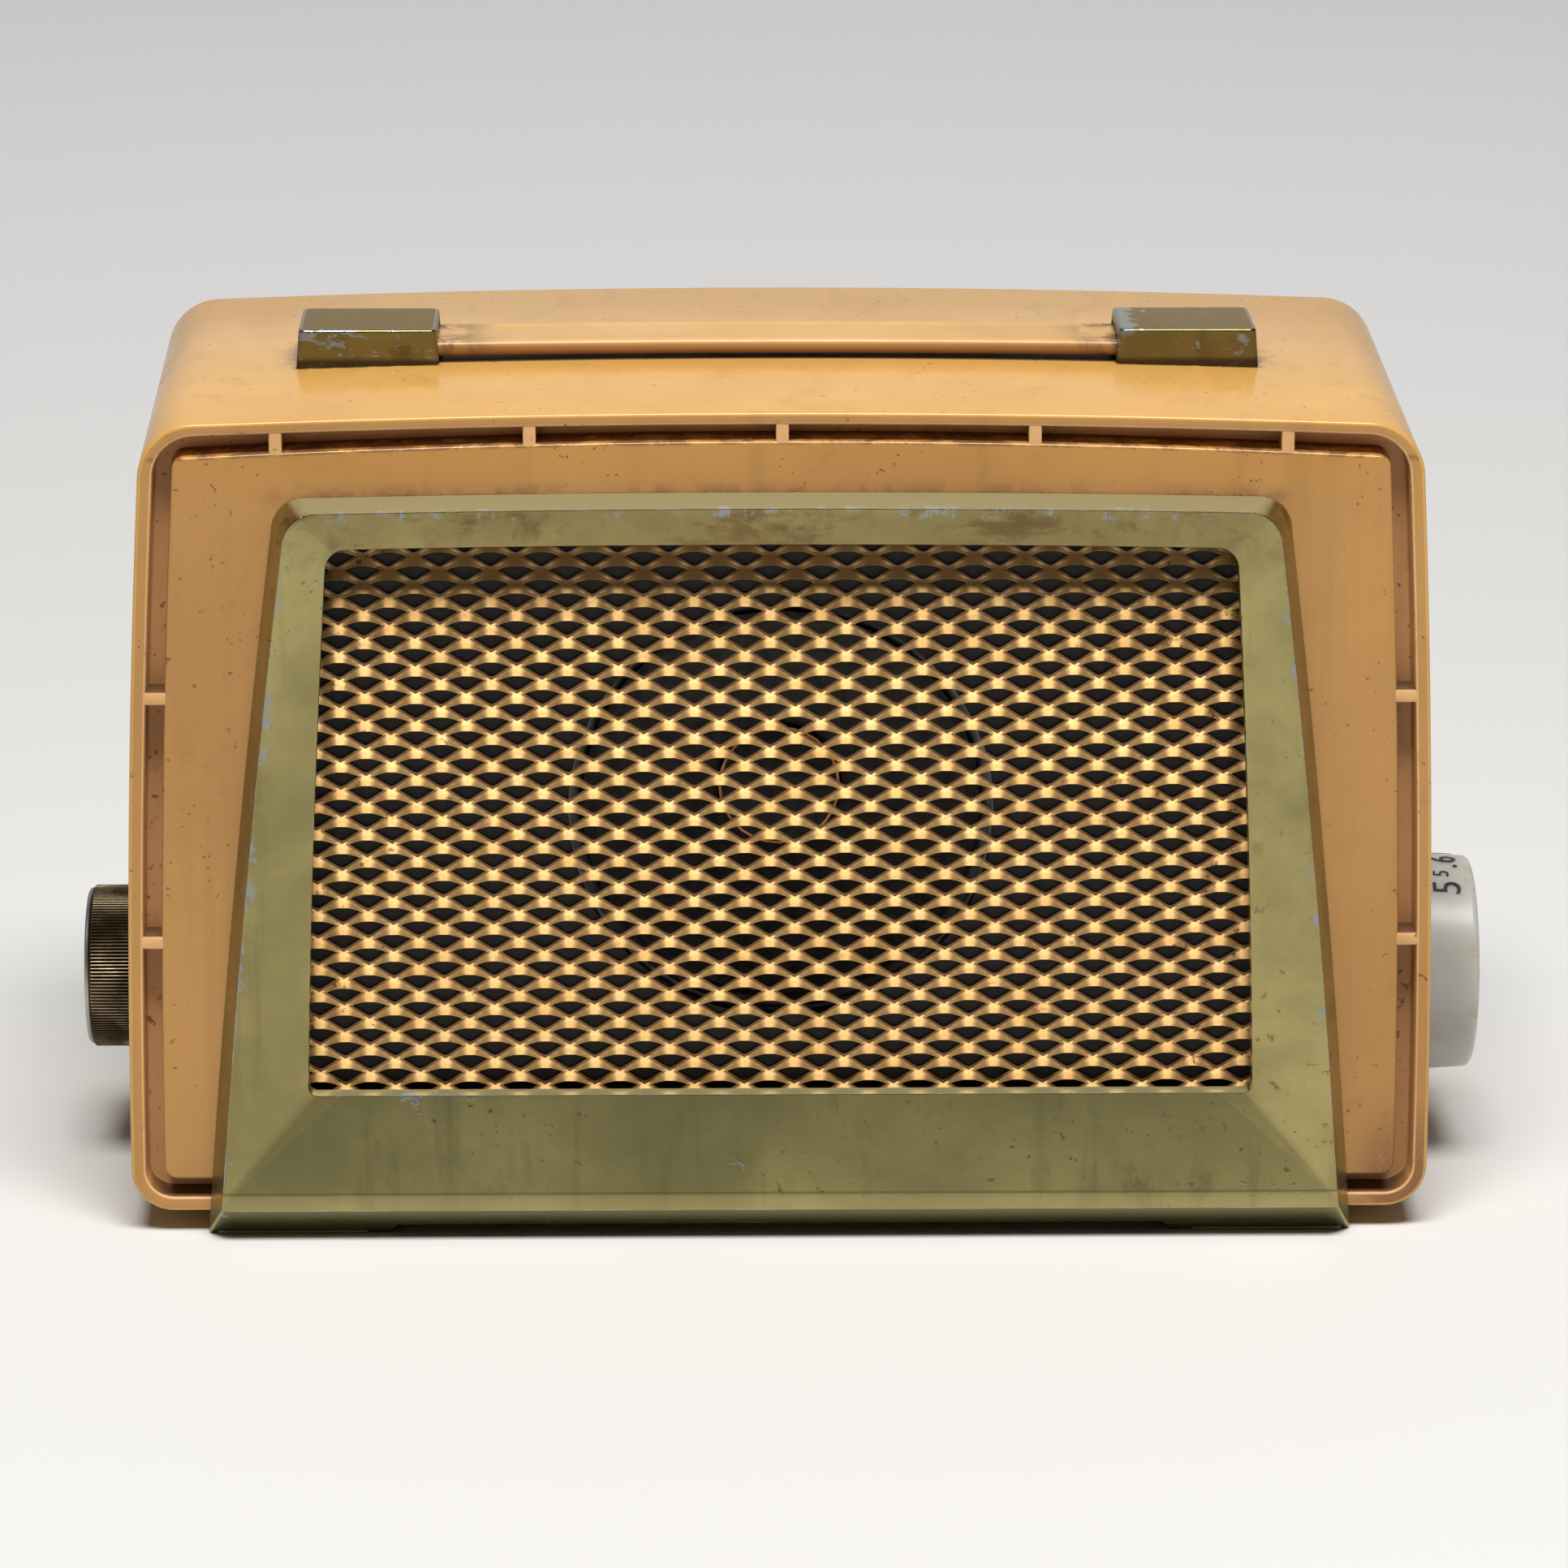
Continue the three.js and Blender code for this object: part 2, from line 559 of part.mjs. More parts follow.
// ---------------------------------------------------------------------------------------------------------
// Chassis and what stands on it
// ---------------------------------------------------------------------------------------------------------
function chassis() {
  const { half, front, back, top, bottom, sheet } = CHASSIS;
  const outer = block(-half, half, front, back, bottom, top);
  const inner = block(-half + sheet, half - sheet, front + sheet, back - sheet, bottom - 1, top - sheet);
  let tray = cut(outer, inner);
  tray = tray.subtract(block(WELL.left, half + 1, front - 1, WELL.back, WELL.floor, top + 1));
  const shelf = block(WELL.left - sheet, half, front, WELL.back + sheet, WELL.floor - sheet, WELL.floor);
  const step = block(WELL.left - sheet, WELL.left, front, WELL.back + sheet, WELL.floor - sheet, top);
  const rise = block(WELL.left - sheet, half, WELL.back, WELL.back + sheet, WELL.floor - sheet, top);
  const bracket = block(-half, -half + sheet, front, front + 32, bottom, 57);
  const feet = CHASSIS_SCREWS.map(([x]) => block(x - 9, x + 9, front, back, bottom, bottom + sheet));
  tray = join(tray, shelf, step, rise, bracket, ...feet);
  const holes = [
    rod("x", 5, -half - 1, -half + 3, axisPlace, 20),
    ...Object.values(TUBES).map((x) => rod("z", SOCKET_HOLE, top - 3, top + 1, [x, REAR_ROW], 20)),
    ...CHASSIS_SCREWS.map(([x, y]) => rod("z", 1.8, bottom - 1, bottom + 3, [x, y], 12)),
  ];
  return cut(tray, ...holes);
}

// Glass envelope with a domed top and its pinch-off tip, standing on a moulded socket.
const TUBE_PROFILE = [
  [0, 0], [8.6, 0], [9.5, 1.5], [9.5, 44], [8.2, 48], [5, 50.4], [2, 51.4], [1.2, 53.6], [0, 54.2],
];
const SOCKET_PROFILE = [
  [0, -8.5], [8, -8.5], [8, GAP], [10.6, GAP], [10.6, 1.6], [8, 1.6], [8, TUBE_SEAT], [0, TUBE_SEAT],
];

function ifCan() {
  const { half, height } = IF_CANS;
  const can = block(-half, half, -half, half, 0, height);
  return cut(can, rod("z", 3, height - 3, height + 3, [0, 0], 16));
}

function outputTransformer() {
  const core = block(-19, 19, -8, 8, 0, 32);
  const coil = block(-12, 12, -14, 14, 5, 27);
  const foot = block(-26, 26, -8, 8, 0, 1.2);
  return join(core, coil, foot);
}

// A two-blade inlet in a moulded block that stands out through the back cover.
function powerInlet() {
  const { halfX, halfZ, length } = INLET;
  const wall = 2.5;
  const body = block(-halfX, halfX, 0, length, -halfZ, halfZ);
  const recess = block(wall - halfX, halfX - wall, 3, length + 1, wall - halfZ, halfZ - wall);
  const blades = [-6, 6].map((x) => rod("y", 1.6, 2, 10, [x, 0], 12));
  return join(cut(body, recess), ...blades);
}

function backCover() {
  const { front, thick, inset } = BACK;
  const board = prism(insetCabinet(CABINET.depth - 2, inset), front, front + thick);
  const cuts = [];
  const through = [front - 1, front + thick + 1];
  for (const { from, to, low, high } of VENT_ROWS) {
    for (let x = from; x <= to; x += VENTS.pitch) {
      cuts.push(block(x - VENTS.half, x + VENTS.half, ...through, low, high));
    }
  }
  for (const [x, z] of BACK_SCREWS) cuts.push(rod("y", 1.8, ...through, [x, z], 12));
  const halfX = INLET.halfX + 2 * GAP;
  const halfZ = INLET.halfZ + 2 * GAP;
  const inletHole = block(INLET.x - halfX, INLET.x + halfX, ...through, INLET.z - halfZ, INLET.z + halfZ);
  return cut(board, inletHole, join(...cuts));
}

// Wire wound flat on the inside of the back cover.
function loopAntenna() {
  const ring = ({ half, low, high, corner }) =>
    outline({ half: () => half, top: () => high, bottom: low, topCorner: corner, bottomCorner: corner });
  const back = BACK.front - GAP;
  const front = back - ANTENNA.thick;
  return cut(prism(ring(ANTENNA.outer), front, back), prism(ring(ANTENNA.inner), front - 1, back + 1));
}

// ---------------------------------------------------------------------------------------------------------
// The assembly
// ---------------------------------------------------------------------------------------------------------
const finish = (color, roughness, metalness) => new THREE.MeshStandardMaterial({ color, roughness, metalness });
const FINISH = {
  bakelite: finish(0xdca566, 0.32, 0),
  casting: finish(0x9a9460, 0.42, 0.7),
  brass: finish(0x8d7a55, 0.45, 0.9),
  grille: finish(0xc79a5b, 0.4, 0.85),
  milk: finish(0xe6e5df, 0.35, 0),
  strap: finish(0xe3bf85, 0.4, 0),
  board: finish(0x2a2320, 0.9, 0),
  brownBoard: finish(0x6b4a2e, 0.85, 0),
  steel: finish(0xa9a9a4, 0.4, 0.9),
  zinc: finish(0x8c8f8c, 0.55, 0.8),
  aluminium: finish(0xc9cbcc, 0.35, 0.9),
  paper: finish(0x35312c, 0.95, 0),
  glass: finish(0xbfc8c6, 0.08, 0),
  phenolic: finish(0x3a2417, 0.5, 0),
  copper: finish(0xa65f32, 0.4, 0.7),
  rubber: finish(0x1e1c1a, 0.9, 0),
};

const radio = new THREE.Group();
const pieces = new THREE.Group();
radio.add(pieces);

function place(name, shape, material, x = 0, y = 0, z = 0) {
  const mesh = new THREE.Mesh(geometryOf(shape), material);
  mesh.name = name;
  mesh.position.set(x, y, z);
  pieces.add(mesh);
  return mesh;
}

place("cabinet_shell", cabinetShell(), FINISH.bakelite);
place("bezel", bezel(), FINISH.casting);
place("grille_mesh", grilleMesh(), FINISH.grille);
place("speaker_baffle", speakerBaffle(), FINISH.board);
STUD.places.forEach(([x, z], i) => {
  const from = BAFFLE.front + BAFFLE.thick + GAP;
  place(`bezel_nut_${i + 1}`, hexNut("y", 7, STUD.radius + GAP, from, from + 2.6, [x, z]), FINISH.steel);
});

place("speaker_basket", speakerBasket(), FINISH.zinc);
place("speaker_magnet", speakerMagnet(), FINISH.zinc);
place("speaker_spider", spider(), FINISH.paper);
place("speaker_cone", speakerCone(), FINISH.paper);
place("voice_coil", voiceCoil(), FINISH.copper);
place("dust_cap", dustCap(), FINISH.paper);

place("strap_grip", strapPiece(-STRAP.grip, STRAP.grip), FINISH.strap);
for (const [word, side] of [["left", -1], ["right", 1]]) {
  place(`handle_cap_${word}`, handleCap(side), FINISH.casting);
  place(`strap_flex_${word}`, strapFlex(side), FINISH.strap);
  place(`strap_end_${word}`, strapEnd(side), FINISH.strap);
  const topWall = CABINET.top - STRAP_SLOT.post ** 2 / CABINET.topBow - CABINET.wall;
  place(`handle_screw_${word}`, screw(3.6, 2, 1.2, 8.5), FINISH.steel, side * STRAP_SLOT.post, HANDLE_Y, topWall - GAP);
  place(`rear_foot_${word}`, turned("z", [[0, 0], [6.4, 0], [7, 0.6], [7, 4.6], [0, 4.6]], [0, 0], 20),
    FINISH.rubber, side * 108, 106, 0);
}

place("volume_knob", controlCup(-1, KNOB.radius, KNOB.radius, KNOB.inner, KNOB.face, KNOB.wall, 6), FINISH.brass);
place("volume_shaft", rod("x", SHAFT, -KNOB.face + KNOB.wall + 1.2, -104.6, axisPlace, 24), FINISH.steel);
place("volume_control", volumePot(), FINISH.zinc);
place("volume_nut", hexNut("x", 12.7, 4.9, -CHASSIS.half - GAP - 2.6, -CHASSIS.half - GAP, axisPlace), FINISH.steel);
place("tuning_dial", controlCup(1, DIAL.radius, DIAL.outerRadius, DIAL.inner, DIAL.face, DIAL.wall, 6), FINISH.milk);
place("tuning_rotor", tuningRotor(), FINISH.aluminium);
place("tuning_frame", tuningFrame(), FINISH.steel);
place("tuning_stator_antenna", tuningStator(PLATE.sections[0]), FINISH.aluminium);
place("tuning_stator_oscillator", tuningStator(PLATE.sections[1]), FINISH.aluminium);

place("chassis", chassis(), FINISH.zinc);
CHASSIS_SCREWS.forEach(([x, y], i) => {
  place(`chassis_screw_${i + 1}`, screw(4, 2, 1.5, 8), FINISH.steel, x, y, CABINET.bottom - GAP);
});
for (const [name, x] of Object.entries(TUBES)) {
  place(`tube_socket_${name}`, turned("z", SOCKET_PROFILE, [0, 0], 16), FINISH.phenolic, x, REAR_ROW, CHASSIS.top);
  const seat = CHASSIS.top + TUBE_SEAT + GAP;
  place(`tube_${name}`, turned("z", TUBE_PROFILE, [0, 0], 18), FINISH.glass, x, REAR_ROW, seat);
}
IF_CANS.places.forEach((x, i) => {
  place(`if_can_${i + 1}`, ifCan(), FINISH.aluminium, x, REAR_ROW, CHASSIS.top + GAP);
});
place("oscillator_coil", turned("z", [[0, 0], [4.5, 0], [4.5, 6], [7, 6], [7, 16], [4.5, 16], [4.5, 26], [0, 26]],
  [0, 0], 24), FINISH.copper, 40, 64, CHASSIS.top + GAP);
place("filter_capacitor", turned("z", [[0, 0], [12.7, 0], [12.7, 52], [11.5, 54], [0, 54]], [0, 0], 28),
  FINISH.aluminium, -68, 62, CHASSIS.top + GAP);
place("output_transformer", outputTransformer(), FINISH.steel, -16, 66, CHASSIS.top + GAP);

place("power_inlet", powerInlet(), FINISH.phenolic, INLET.x, CHASSIS.back + GAP, INLET.z);
place("back_cover", backCover(), FINISH.brownBoard);
place("loop_antenna", loopAntenna(), FINISH.copper);
BACK_SCREWS.forEach(([x, z], i) => {
  const mesh = place(`back_screw_${i + 1}`, screw(3.4, 2, 1.3, 14), FINISH.steel, x, BACK.front + BACK.thick + GAP, z);
  mesh.rotation.x = Math.PI / 2;
});

// The origin goes to the middle of the whole object's base.
pieces.position.set((KNOB.face - DIAL.face) / 2, -(CABINET.depth + BEZEL.front) / 2, 0);

export default radio;
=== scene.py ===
"""Table radio: moulded cabinet, cast bezel, expanded metal grille, strap handle, knob and dial drum.

Shapes are worked out in millimetres in the drawing's own frame: X to the right, Y to the back with y = 0 on
the cabinet's front rim, Z up from the table. place() turns such a point into metres in the model's frame.
"""

import json
import math
from types import SimpleNamespace as Sizes

import bmesh
import bpy
from mathutils import Matrix, Vector


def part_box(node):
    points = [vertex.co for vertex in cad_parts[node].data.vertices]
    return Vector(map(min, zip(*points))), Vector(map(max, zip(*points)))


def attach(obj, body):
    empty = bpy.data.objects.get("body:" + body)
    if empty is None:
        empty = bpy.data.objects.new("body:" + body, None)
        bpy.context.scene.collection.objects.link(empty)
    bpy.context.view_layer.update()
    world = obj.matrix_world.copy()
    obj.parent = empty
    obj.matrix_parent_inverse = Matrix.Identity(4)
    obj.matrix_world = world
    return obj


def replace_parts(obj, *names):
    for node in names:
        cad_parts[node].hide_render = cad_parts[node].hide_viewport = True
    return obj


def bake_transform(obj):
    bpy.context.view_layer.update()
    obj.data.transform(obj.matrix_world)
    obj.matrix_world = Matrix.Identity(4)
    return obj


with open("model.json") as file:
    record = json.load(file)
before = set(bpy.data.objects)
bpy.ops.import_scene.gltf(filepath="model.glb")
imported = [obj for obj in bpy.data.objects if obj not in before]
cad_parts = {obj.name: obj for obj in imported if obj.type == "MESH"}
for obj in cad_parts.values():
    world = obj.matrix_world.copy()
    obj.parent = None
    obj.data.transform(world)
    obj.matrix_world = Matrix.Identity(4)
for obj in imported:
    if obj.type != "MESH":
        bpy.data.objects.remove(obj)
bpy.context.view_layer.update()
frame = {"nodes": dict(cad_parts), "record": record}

MM = 0.001
shell_low, shell_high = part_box("cabinet_shell")
ORIGIN = Vector(((shell_low.x + shell_high.x) / 2, shell_low.y, 0))
scene = bpy.context.scene


def place(x, y, z):
    """A point of the drawing, in millimetres, as a point of the model, in metres."""
    return ORIGIN + Vector((x, y, z)) * MM


def link(name, data):
    """A new object in the scene that holds the data."""
    made = bpy.data.objects.new(name, data)
    scene.collection.objects.link(made)
    return made


# --------------------
# Driving dimensions, in millimetres
# --------------------
# A bow is b in x**2 / b, the fall from a curve's highest point; a draft is the growth from front to back.
# The sides of bezel and opening lean in by lean * height and bend in by bend * height**2.
CABINET = Sizes(half=138.2, bottom=4.9, top=179.05, depth=124, wall=3, widest=10, side_bow=5000,
                top_bow=6254, side_draft=2, top_draft=0.6, top_corner=12, bottom_corner=9)
GROOVE = Sizes(side=3.1, top=2.55, bottom=3.1, top_corner=9, bottom_corner=6)
GROOVE_DEPTH = 7.5
GROOVE_FLOOR = 2.5
PANEL = Sizes(side=7.05, top=6.05, bottom=7.2, top_bow=4640, top_corner=2.8, bottom_corner=2.8)
PANEL_THICK = 3
EDGE_ROUND, REAR_ROUND, LIP_ROUND, FLOOR_FILLET = 0.7, 0.6, 0.5, 0.8
RIB_WIDTH = 2.7
TOP_RIBS = [(x, 168, 177.2) for x in (0, 52.3, -52.3)] + [(x, 167, 175.4) for x in (104.7, -104.7)]
SIDE_RIBS = (64.7, 118)

OPENING = Sizes(half=100.1, lean=0.025, bend=0.00019, bottom=31.8, top=151.8, top_bow=8900,
                top_corner=4.6, bottom_corner=2)
BEZEL = Sizes(front=-7, opening_face=-3.4, back=-0.3, lip_back=0.9, lip=2.6, top=162.3, top_bow=9170,
              front_top=160.35, front_bottom=7.2, strip_top=10.7, half=122, front_half=119.2,
              strip_half=118.2, lean=0.0765, bend=0.00018, foot_inner=84, foot_height=2.5)
STUDS = ((110.5, 50), (-110.5, 50), (103.5, 135), (-103.5, 135))
MESH = Sizes(pitch_x=10.6, pitch_z=5.95, phase_x=2.95, phase_z=34.8, front=3.3, thick=0.32)
HOLE = Sizes(half=3.75, rise=1.16, drop=2.4, flat=0.95)

# The knob and the dial turn on one line along X, given as (y, z).
AXIS = (58, 41.5)
SHAFT = 3.175
KNOB = Sizes(radius=17.75, inner=140.2, face=150.9, ribs=144)
DIAL = Sizes(radius=24, outer=23.3, inner=140.2, face=153.1)

CAP = Sizes(inner=72.9, outer=102.2, front=49.5, back=72, top=186, wall=1.7)
STRAP = Sizes(bottom=180.2, top=183.5, front=51.3, back=70.2, grip=15, mouth=76, end=99.4)
SCREW = Sizes(x=88, y=60.75)
SLOT = Sizes(half=3.1, travel=6)
BACK = Sizes(front=118, thick=3, inset=3.6)
BACK_SCREWS = ((124, 22), (-124, 22), (121, 156), (-121, 156))
VENT = Sizes(half=4, pitch=24)
VENT_ROWS = ((-72, 72, 64, 92), (-72, 72, 104, 132), (-24, 72, 12, 26))
INLET = Sizes(x=-80, z=18, half_x=13, half_z=7)
CHASSIS_SCREW = Sizes(x=90, y=75)
REAR_FOOT = Sizes(x=108, y=106)

CORNER_STEPS = 10
SIDE_STEPS = 24
TOP_STEPS = 48


# --------------------
# Camera, light and floor
# --------------------
def look_from(target, distance, elevation, azimuth, roll):
    """A camera matrix that looks at target from the given direction, angles in degrees."""
    up, turn = math.radians(elevation), math.radians(azimuth)
    back = Vector((math.sin(turn) * math.cos(up), -math.cos(turn) * math.cos(up), math.sin(up)))
    matrix = back.to_track_quat("Z", "Y").to_matrix().to_4x4()
    matrix = matrix @ Matrix.Rotation(math.radians(roll), 4, "Z")
    matrix.translation = target + back * distance
    return matrix


def make_camera():
    data = bpy.data.cameras.new("camera")
    data.lens = 100
    data.sensor_width = 24
    camera = link("camera", data)
    camera.matrix_world = look_from(
        place(0.52, 0, 99.3), distance=1.37, elevation=16.1, azimuth=-1.2, roll=0.17
    )
    scene.camera = camera


def area_light(name, location, target, size, energy, color):
    data = bpy.data.lights.new(name, "AREA")
    data.shape = "RECTANGLE"
    data.size, data.size_y = size
    data.energy = energy
    data.color = color
    light = link(name, data)
    light.location = location
    direction = Vector(target) - Vector(location)
    light.rotation_euler = direction.to_track_quat("-Z", "Y").to_euler()


def make_studio():
    """One large softbox above and in front, a weak fill behind, and a dim room."""
    warm, cool = (1, 0.985, 0.965), (0.97, 0.98, 1)
    area_light("softbox", (0.06, -0.95, 2.47), (0, 0, 0.05), size=(1.6, 0.85), energy=98, color=warm)
    area_light("backdrop_light", (0, 1.7, 2.2), (0, 1.9, 0), size=(2.6, 1.2), energy=5.4, color=cool)
    world = bpy.data.worlds.new("studio")
    world.use_nodes = True
    world.node_tree.nodes["Background"].inputs["Color"].default_value = (0.62, 0.63, 0.66, 1)
    world.node_tree.nodes["Background"].inputs["Strength"].default_value = 0.035
    scene.world = world
    scene.view_settings.view_transform = "Standard"


# --------------------
# Materials
# --------------------
class Paint:
    """A Principled material under construction; most methods add a node and return its output socket.

    tone is the colour so far: start() sets it, over() lays the next colour on it, done() hands it over.
    """

    def __init__(self, name, **constants):
        self.material = bpy.data.materials.new(name)
        self.material.use_nodes = True
        self.tree = self.material.node_tree
        self.tree.nodes.clear()
        self.shader = self.tree.nodes.new("ShaderNodeBsdfPrincipled")
        output = self.tree.nodes.new("ShaderNodeOutputMaterial")
        self.feed(output.inputs["Surface"], self.shader.outputs["BSDF"])
        self.where = self.node("ShaderNodeTexCoord", {}, "Object")
        self.tone = None
        self.set(**constants)

    def feed(self, socket, value):
        if isinstance(value, bpy.types.NodeSocket):
            self.tree.links.new(value, socket)
        else:
            socket.default_value = (*value, 1) if socket.type == "RGBA" else value

    def set(self, **inputs):
        for key, value in inputs.items():
            self.feed(self.shader.inputs[key.replace("_", " ")], value)
        return self.material

    def done(self, roughness, relief, **inputs):
        return self.set(Base_Color=self.tone, Roughness=roughness, Normal=relief, **inputs)

    def node(self, kind, inputs, output, **settings):
        node = self.tree.nodes.new(kind)
        for key, value in settings.items():
            setattr(node, key, value)
        for key, value in inputs.items():
            self.feed(node.inputs[key], value)
        return node.outputs[output]

    def noise(self, scale, detail=4, roughness=0.55, distortion=0, stretch=(1, 1, 1), shift=(0, 0, 0)):
        moved = {"Vector": self.where, "Scale": stretch, "Location": shift}
        where = self.node("ShaderNodeMapping", moved, "Vector")
        grain = {"Scale": scale, "Detail": detail, "Roughness": roughness, "Distortion": distortion}
        return self.node("ShaderNodeTexNoise", {"Vector": where, **grain}, "Fac")

    def patches(self, low, high, *noise, **shape):
        """Noise cut between two levels into soft-edged patches."""
        return self.span(self.noise(*noise, **shape), low, high)

    def axis(self, name):
        return self.node("ShaderNodeSeparateXYZ", {"Vector": self.where}, name)

    def normal_axis(self, name):
        normal = self.node("ShaderNodeNewGeometry", {}, "Normal")
        return self.node("ShaderNodeSeparateXYZ", {"Vector": normal}, name)

    def across(self):
        """Distance to the right of the object's middle plane, in metres."""
        return self.less(self.axis("X"), ORIGIN.x)

    def radius(self, centre_y, centre_z):
        """Distance in metres from the line along X through a point given in millimetres."""
        middle = place(0, centre_y, centre_z)
        away_y = self.less(self.axis("Y"), middle.y)
        away_z = self.less(self.axis("Z"), middle.z)
        return self.math("SQRT", self.plus(self.times(away_y, away_y), self.times(away_z, away_z)))

    def span(self, value, low, high, to_low=0, to_high=1):
        """value carried smoothly from low..high to to_low..to_high."""
        inputs = {"Value": value, "From Min": low, "From Max": high, "To Min": to_low, "To Max": to_high}
        return self.node("ShaderNodeMapRange", inputs, "Result", interpolation_type="SMOOTHSTEP")

    def window(self, value, start, full, fade, end):
        """Two shares whose product is 1 from full to fade and falls smoothly to 0 at start and end."""
        return [self.span(value, start, full), self.span(value, end, fade)]

    def between(self, axis, low, high):
        """Smoothly from 0 to 1 along an axis of the drawing, between two places in millimetres."""
        ends = (place(spot, spot, spot)["XYZ".index(axis)] for spot in (low, high))
        return self.span(self.axis(axis), *ends)

    def math(self, operation, first, second=0.0):
        return self.node("ShaderNodeMath", {0: first, 1: second}, "Value", operation=operation)

    def plus(self, first, second):
        return self.math("ADD", first, second)

    def less(self, first, second):
        return self.math("SUBTRACT", first, second)

    def size(self, value):
        return self.math("ABSOLUTE", value)

    def times(self, first, *others):
        for other in others:
            first = self.math("MULTIPLY", first, other)
        return first

    def mix(self, share, first, second):
        return self.node("ShaderNodeMix", {"Factor": share, 6: first, 7: second}, 2, data_type="RGBA")

    def start(self, pattern, low, high, first, second):
        """The first tone, carried to a second one where the pattern rises from low to high."""
        self.tone = self.mix(self.span(pattern, low, high), first, second)

    def over(self, colour, *shares):
        """Lays a colour on the tone, as strongly as the product of the shares."""
        self.tone = self.mix(self.times(*shares), self.tone, colour)

    def bump(self, height, strength, distance, under=None):
        inputs = {"Strength": strength, "Distance": distance, "Height": height}
        if under is not None:
            inputs["Normal"] = under
        return self.node("ShaderNodeBump", inputs, "Normal")


def darker(colour, share):
    return tuple(share * part for part in colour)


def floor_material():
    paint = Paint("floor_paper", Roughness=0.85)
    # Darker near the object and lighter behind it: painted light that evens out the softbox's falloff
    # towards the back.
    paint.start(paint.axis("Y"), 0.3, 1.7, (0.68, 0.68, 0.67), (0.84, 0.84, 0.85))
    paint.over((0.7, 0.69, 0.68), paint.noise(900, 3), 0.05)
    return paint.set(Base_Color=paint.tone)


def bakelite(name, light, dark, grime=0.0, ledges=0.0, dirt=None):
    """Glossy resin: honey-coloured, faint upright streaks, brown specks; grime all over. In a groove, the
    ledges that face up get dirt and painted shade, and the upright walls get painted shade.

    dirt(paint) adds the marks of one face: its dirt, and on the top also a painted shadow.
    """
    paint = Paint(name, IOR=1.5, Specular_IOR_Level=0.5)
    cloud = paint.noise(14, 4, 0.6, shift=(3, 1, 7))
    paint.start(cloud, 0.3, 0.7, light, dark)
    streaks = paint.patches(0.5, 0.75, 70, 5, 0.6, 0.2, stretch=(1.6, 1, 0.06))
    paint.over(darker(dark, 0.8), streaks, 0.4)
    specks = paint.patches(0.7 - 0.05 * grime, 0.73 - 0.05 * grime, 640, 2, 0.5, shift=(2, 6, 3))
    paint.over((0.13, 0.05, 0.016), specks, paint.patches(0.4, 0.55, 45, 3, shift=(9, 2, 4)), 0.75)
    smears = paint.patches(0.56, 0.74, 85, 6, 0.72, 0.6, shift=(1, 8, 2))
    paint.over((0.15, 0.065, 0.022), smears, 0.16 + 0.6 * grime)
    uneven = paint.plus(paint.times(cloud, 0.6), paint.times(smears, 0.5))
    roughness = paint.span(uneven, 0.2, 0.9, 0.2, 0.45)
    if ledges:
        inward = paint.between("Y", 0, 0.8)
        # Dirt and painted shade on the groove's ledges that face up.
        paint.over((0.075, 0.034, 0.016), paint.span(paint.normal_axis("Z"), 0.35, 0.7), inward, ledges)
        # Painted shade on the groove's upright walls.
        upright = paint.span(paint.size(paint.normal_axis("X")), 0.4, 0.75)
        paint.over((0.34, 0.16, 0.06), upright, inward, 0.5)
        roughness = paint.plus(roughness, 0.3)
    if dirt:
        dirt(paint)
    relief = paint.bump(paint.noise(420, 4, 0.6, stretch=(0.4, 1, 1)), 0.05, 0.0004)
    return paint.done(roughness, paint.bump(cloud, 0.25, 0.0006, relief))


def top_dirt_and_shadow(paint):
    """Marks of the cabinet's top: dirt and a painted shadow in the gap under the strap, dirt along the
    caps' feet and outside the caps.
    """
    across = paint.size(paint.across())
    deep = paint.less(paint.axis("Y"), ORIGIN.y)
    noise = paint.noise(240, 6, 0.72, 0.4, shift=(3, 7, 1))
    # Painted shadow, with dirt, in the gap under the strap.
    gap = paint.window(deep, 0.0504, 0.0514, 0.07, 0.074)
    paint.over((0.06, 0.022, 0.007), paint.span(across, 0.0745, 0.0725), *gap, 0.9)
    foot = paint.window(across, 0.0715, 0.073, 0.1025, 0.1045)
    foot += paint.window(deep, 0.0475, 0.0492, 0.0725, 0.0745)
    paint.over((0.09, 0.04, 0.014), *foot, paint.span(noise, 0.36, 0.56), 0.9)
    beside = paint.window(across, 0.1015, 0.1025, 0.1025, 0.109)
    beside += paint.window(deep, 0.048, 0.054, 0.068, 0.074)
    paint.over((0.19, 0.085, 0.03), *beside, paint.span(noise, 0.38, 0.6), 0.6)


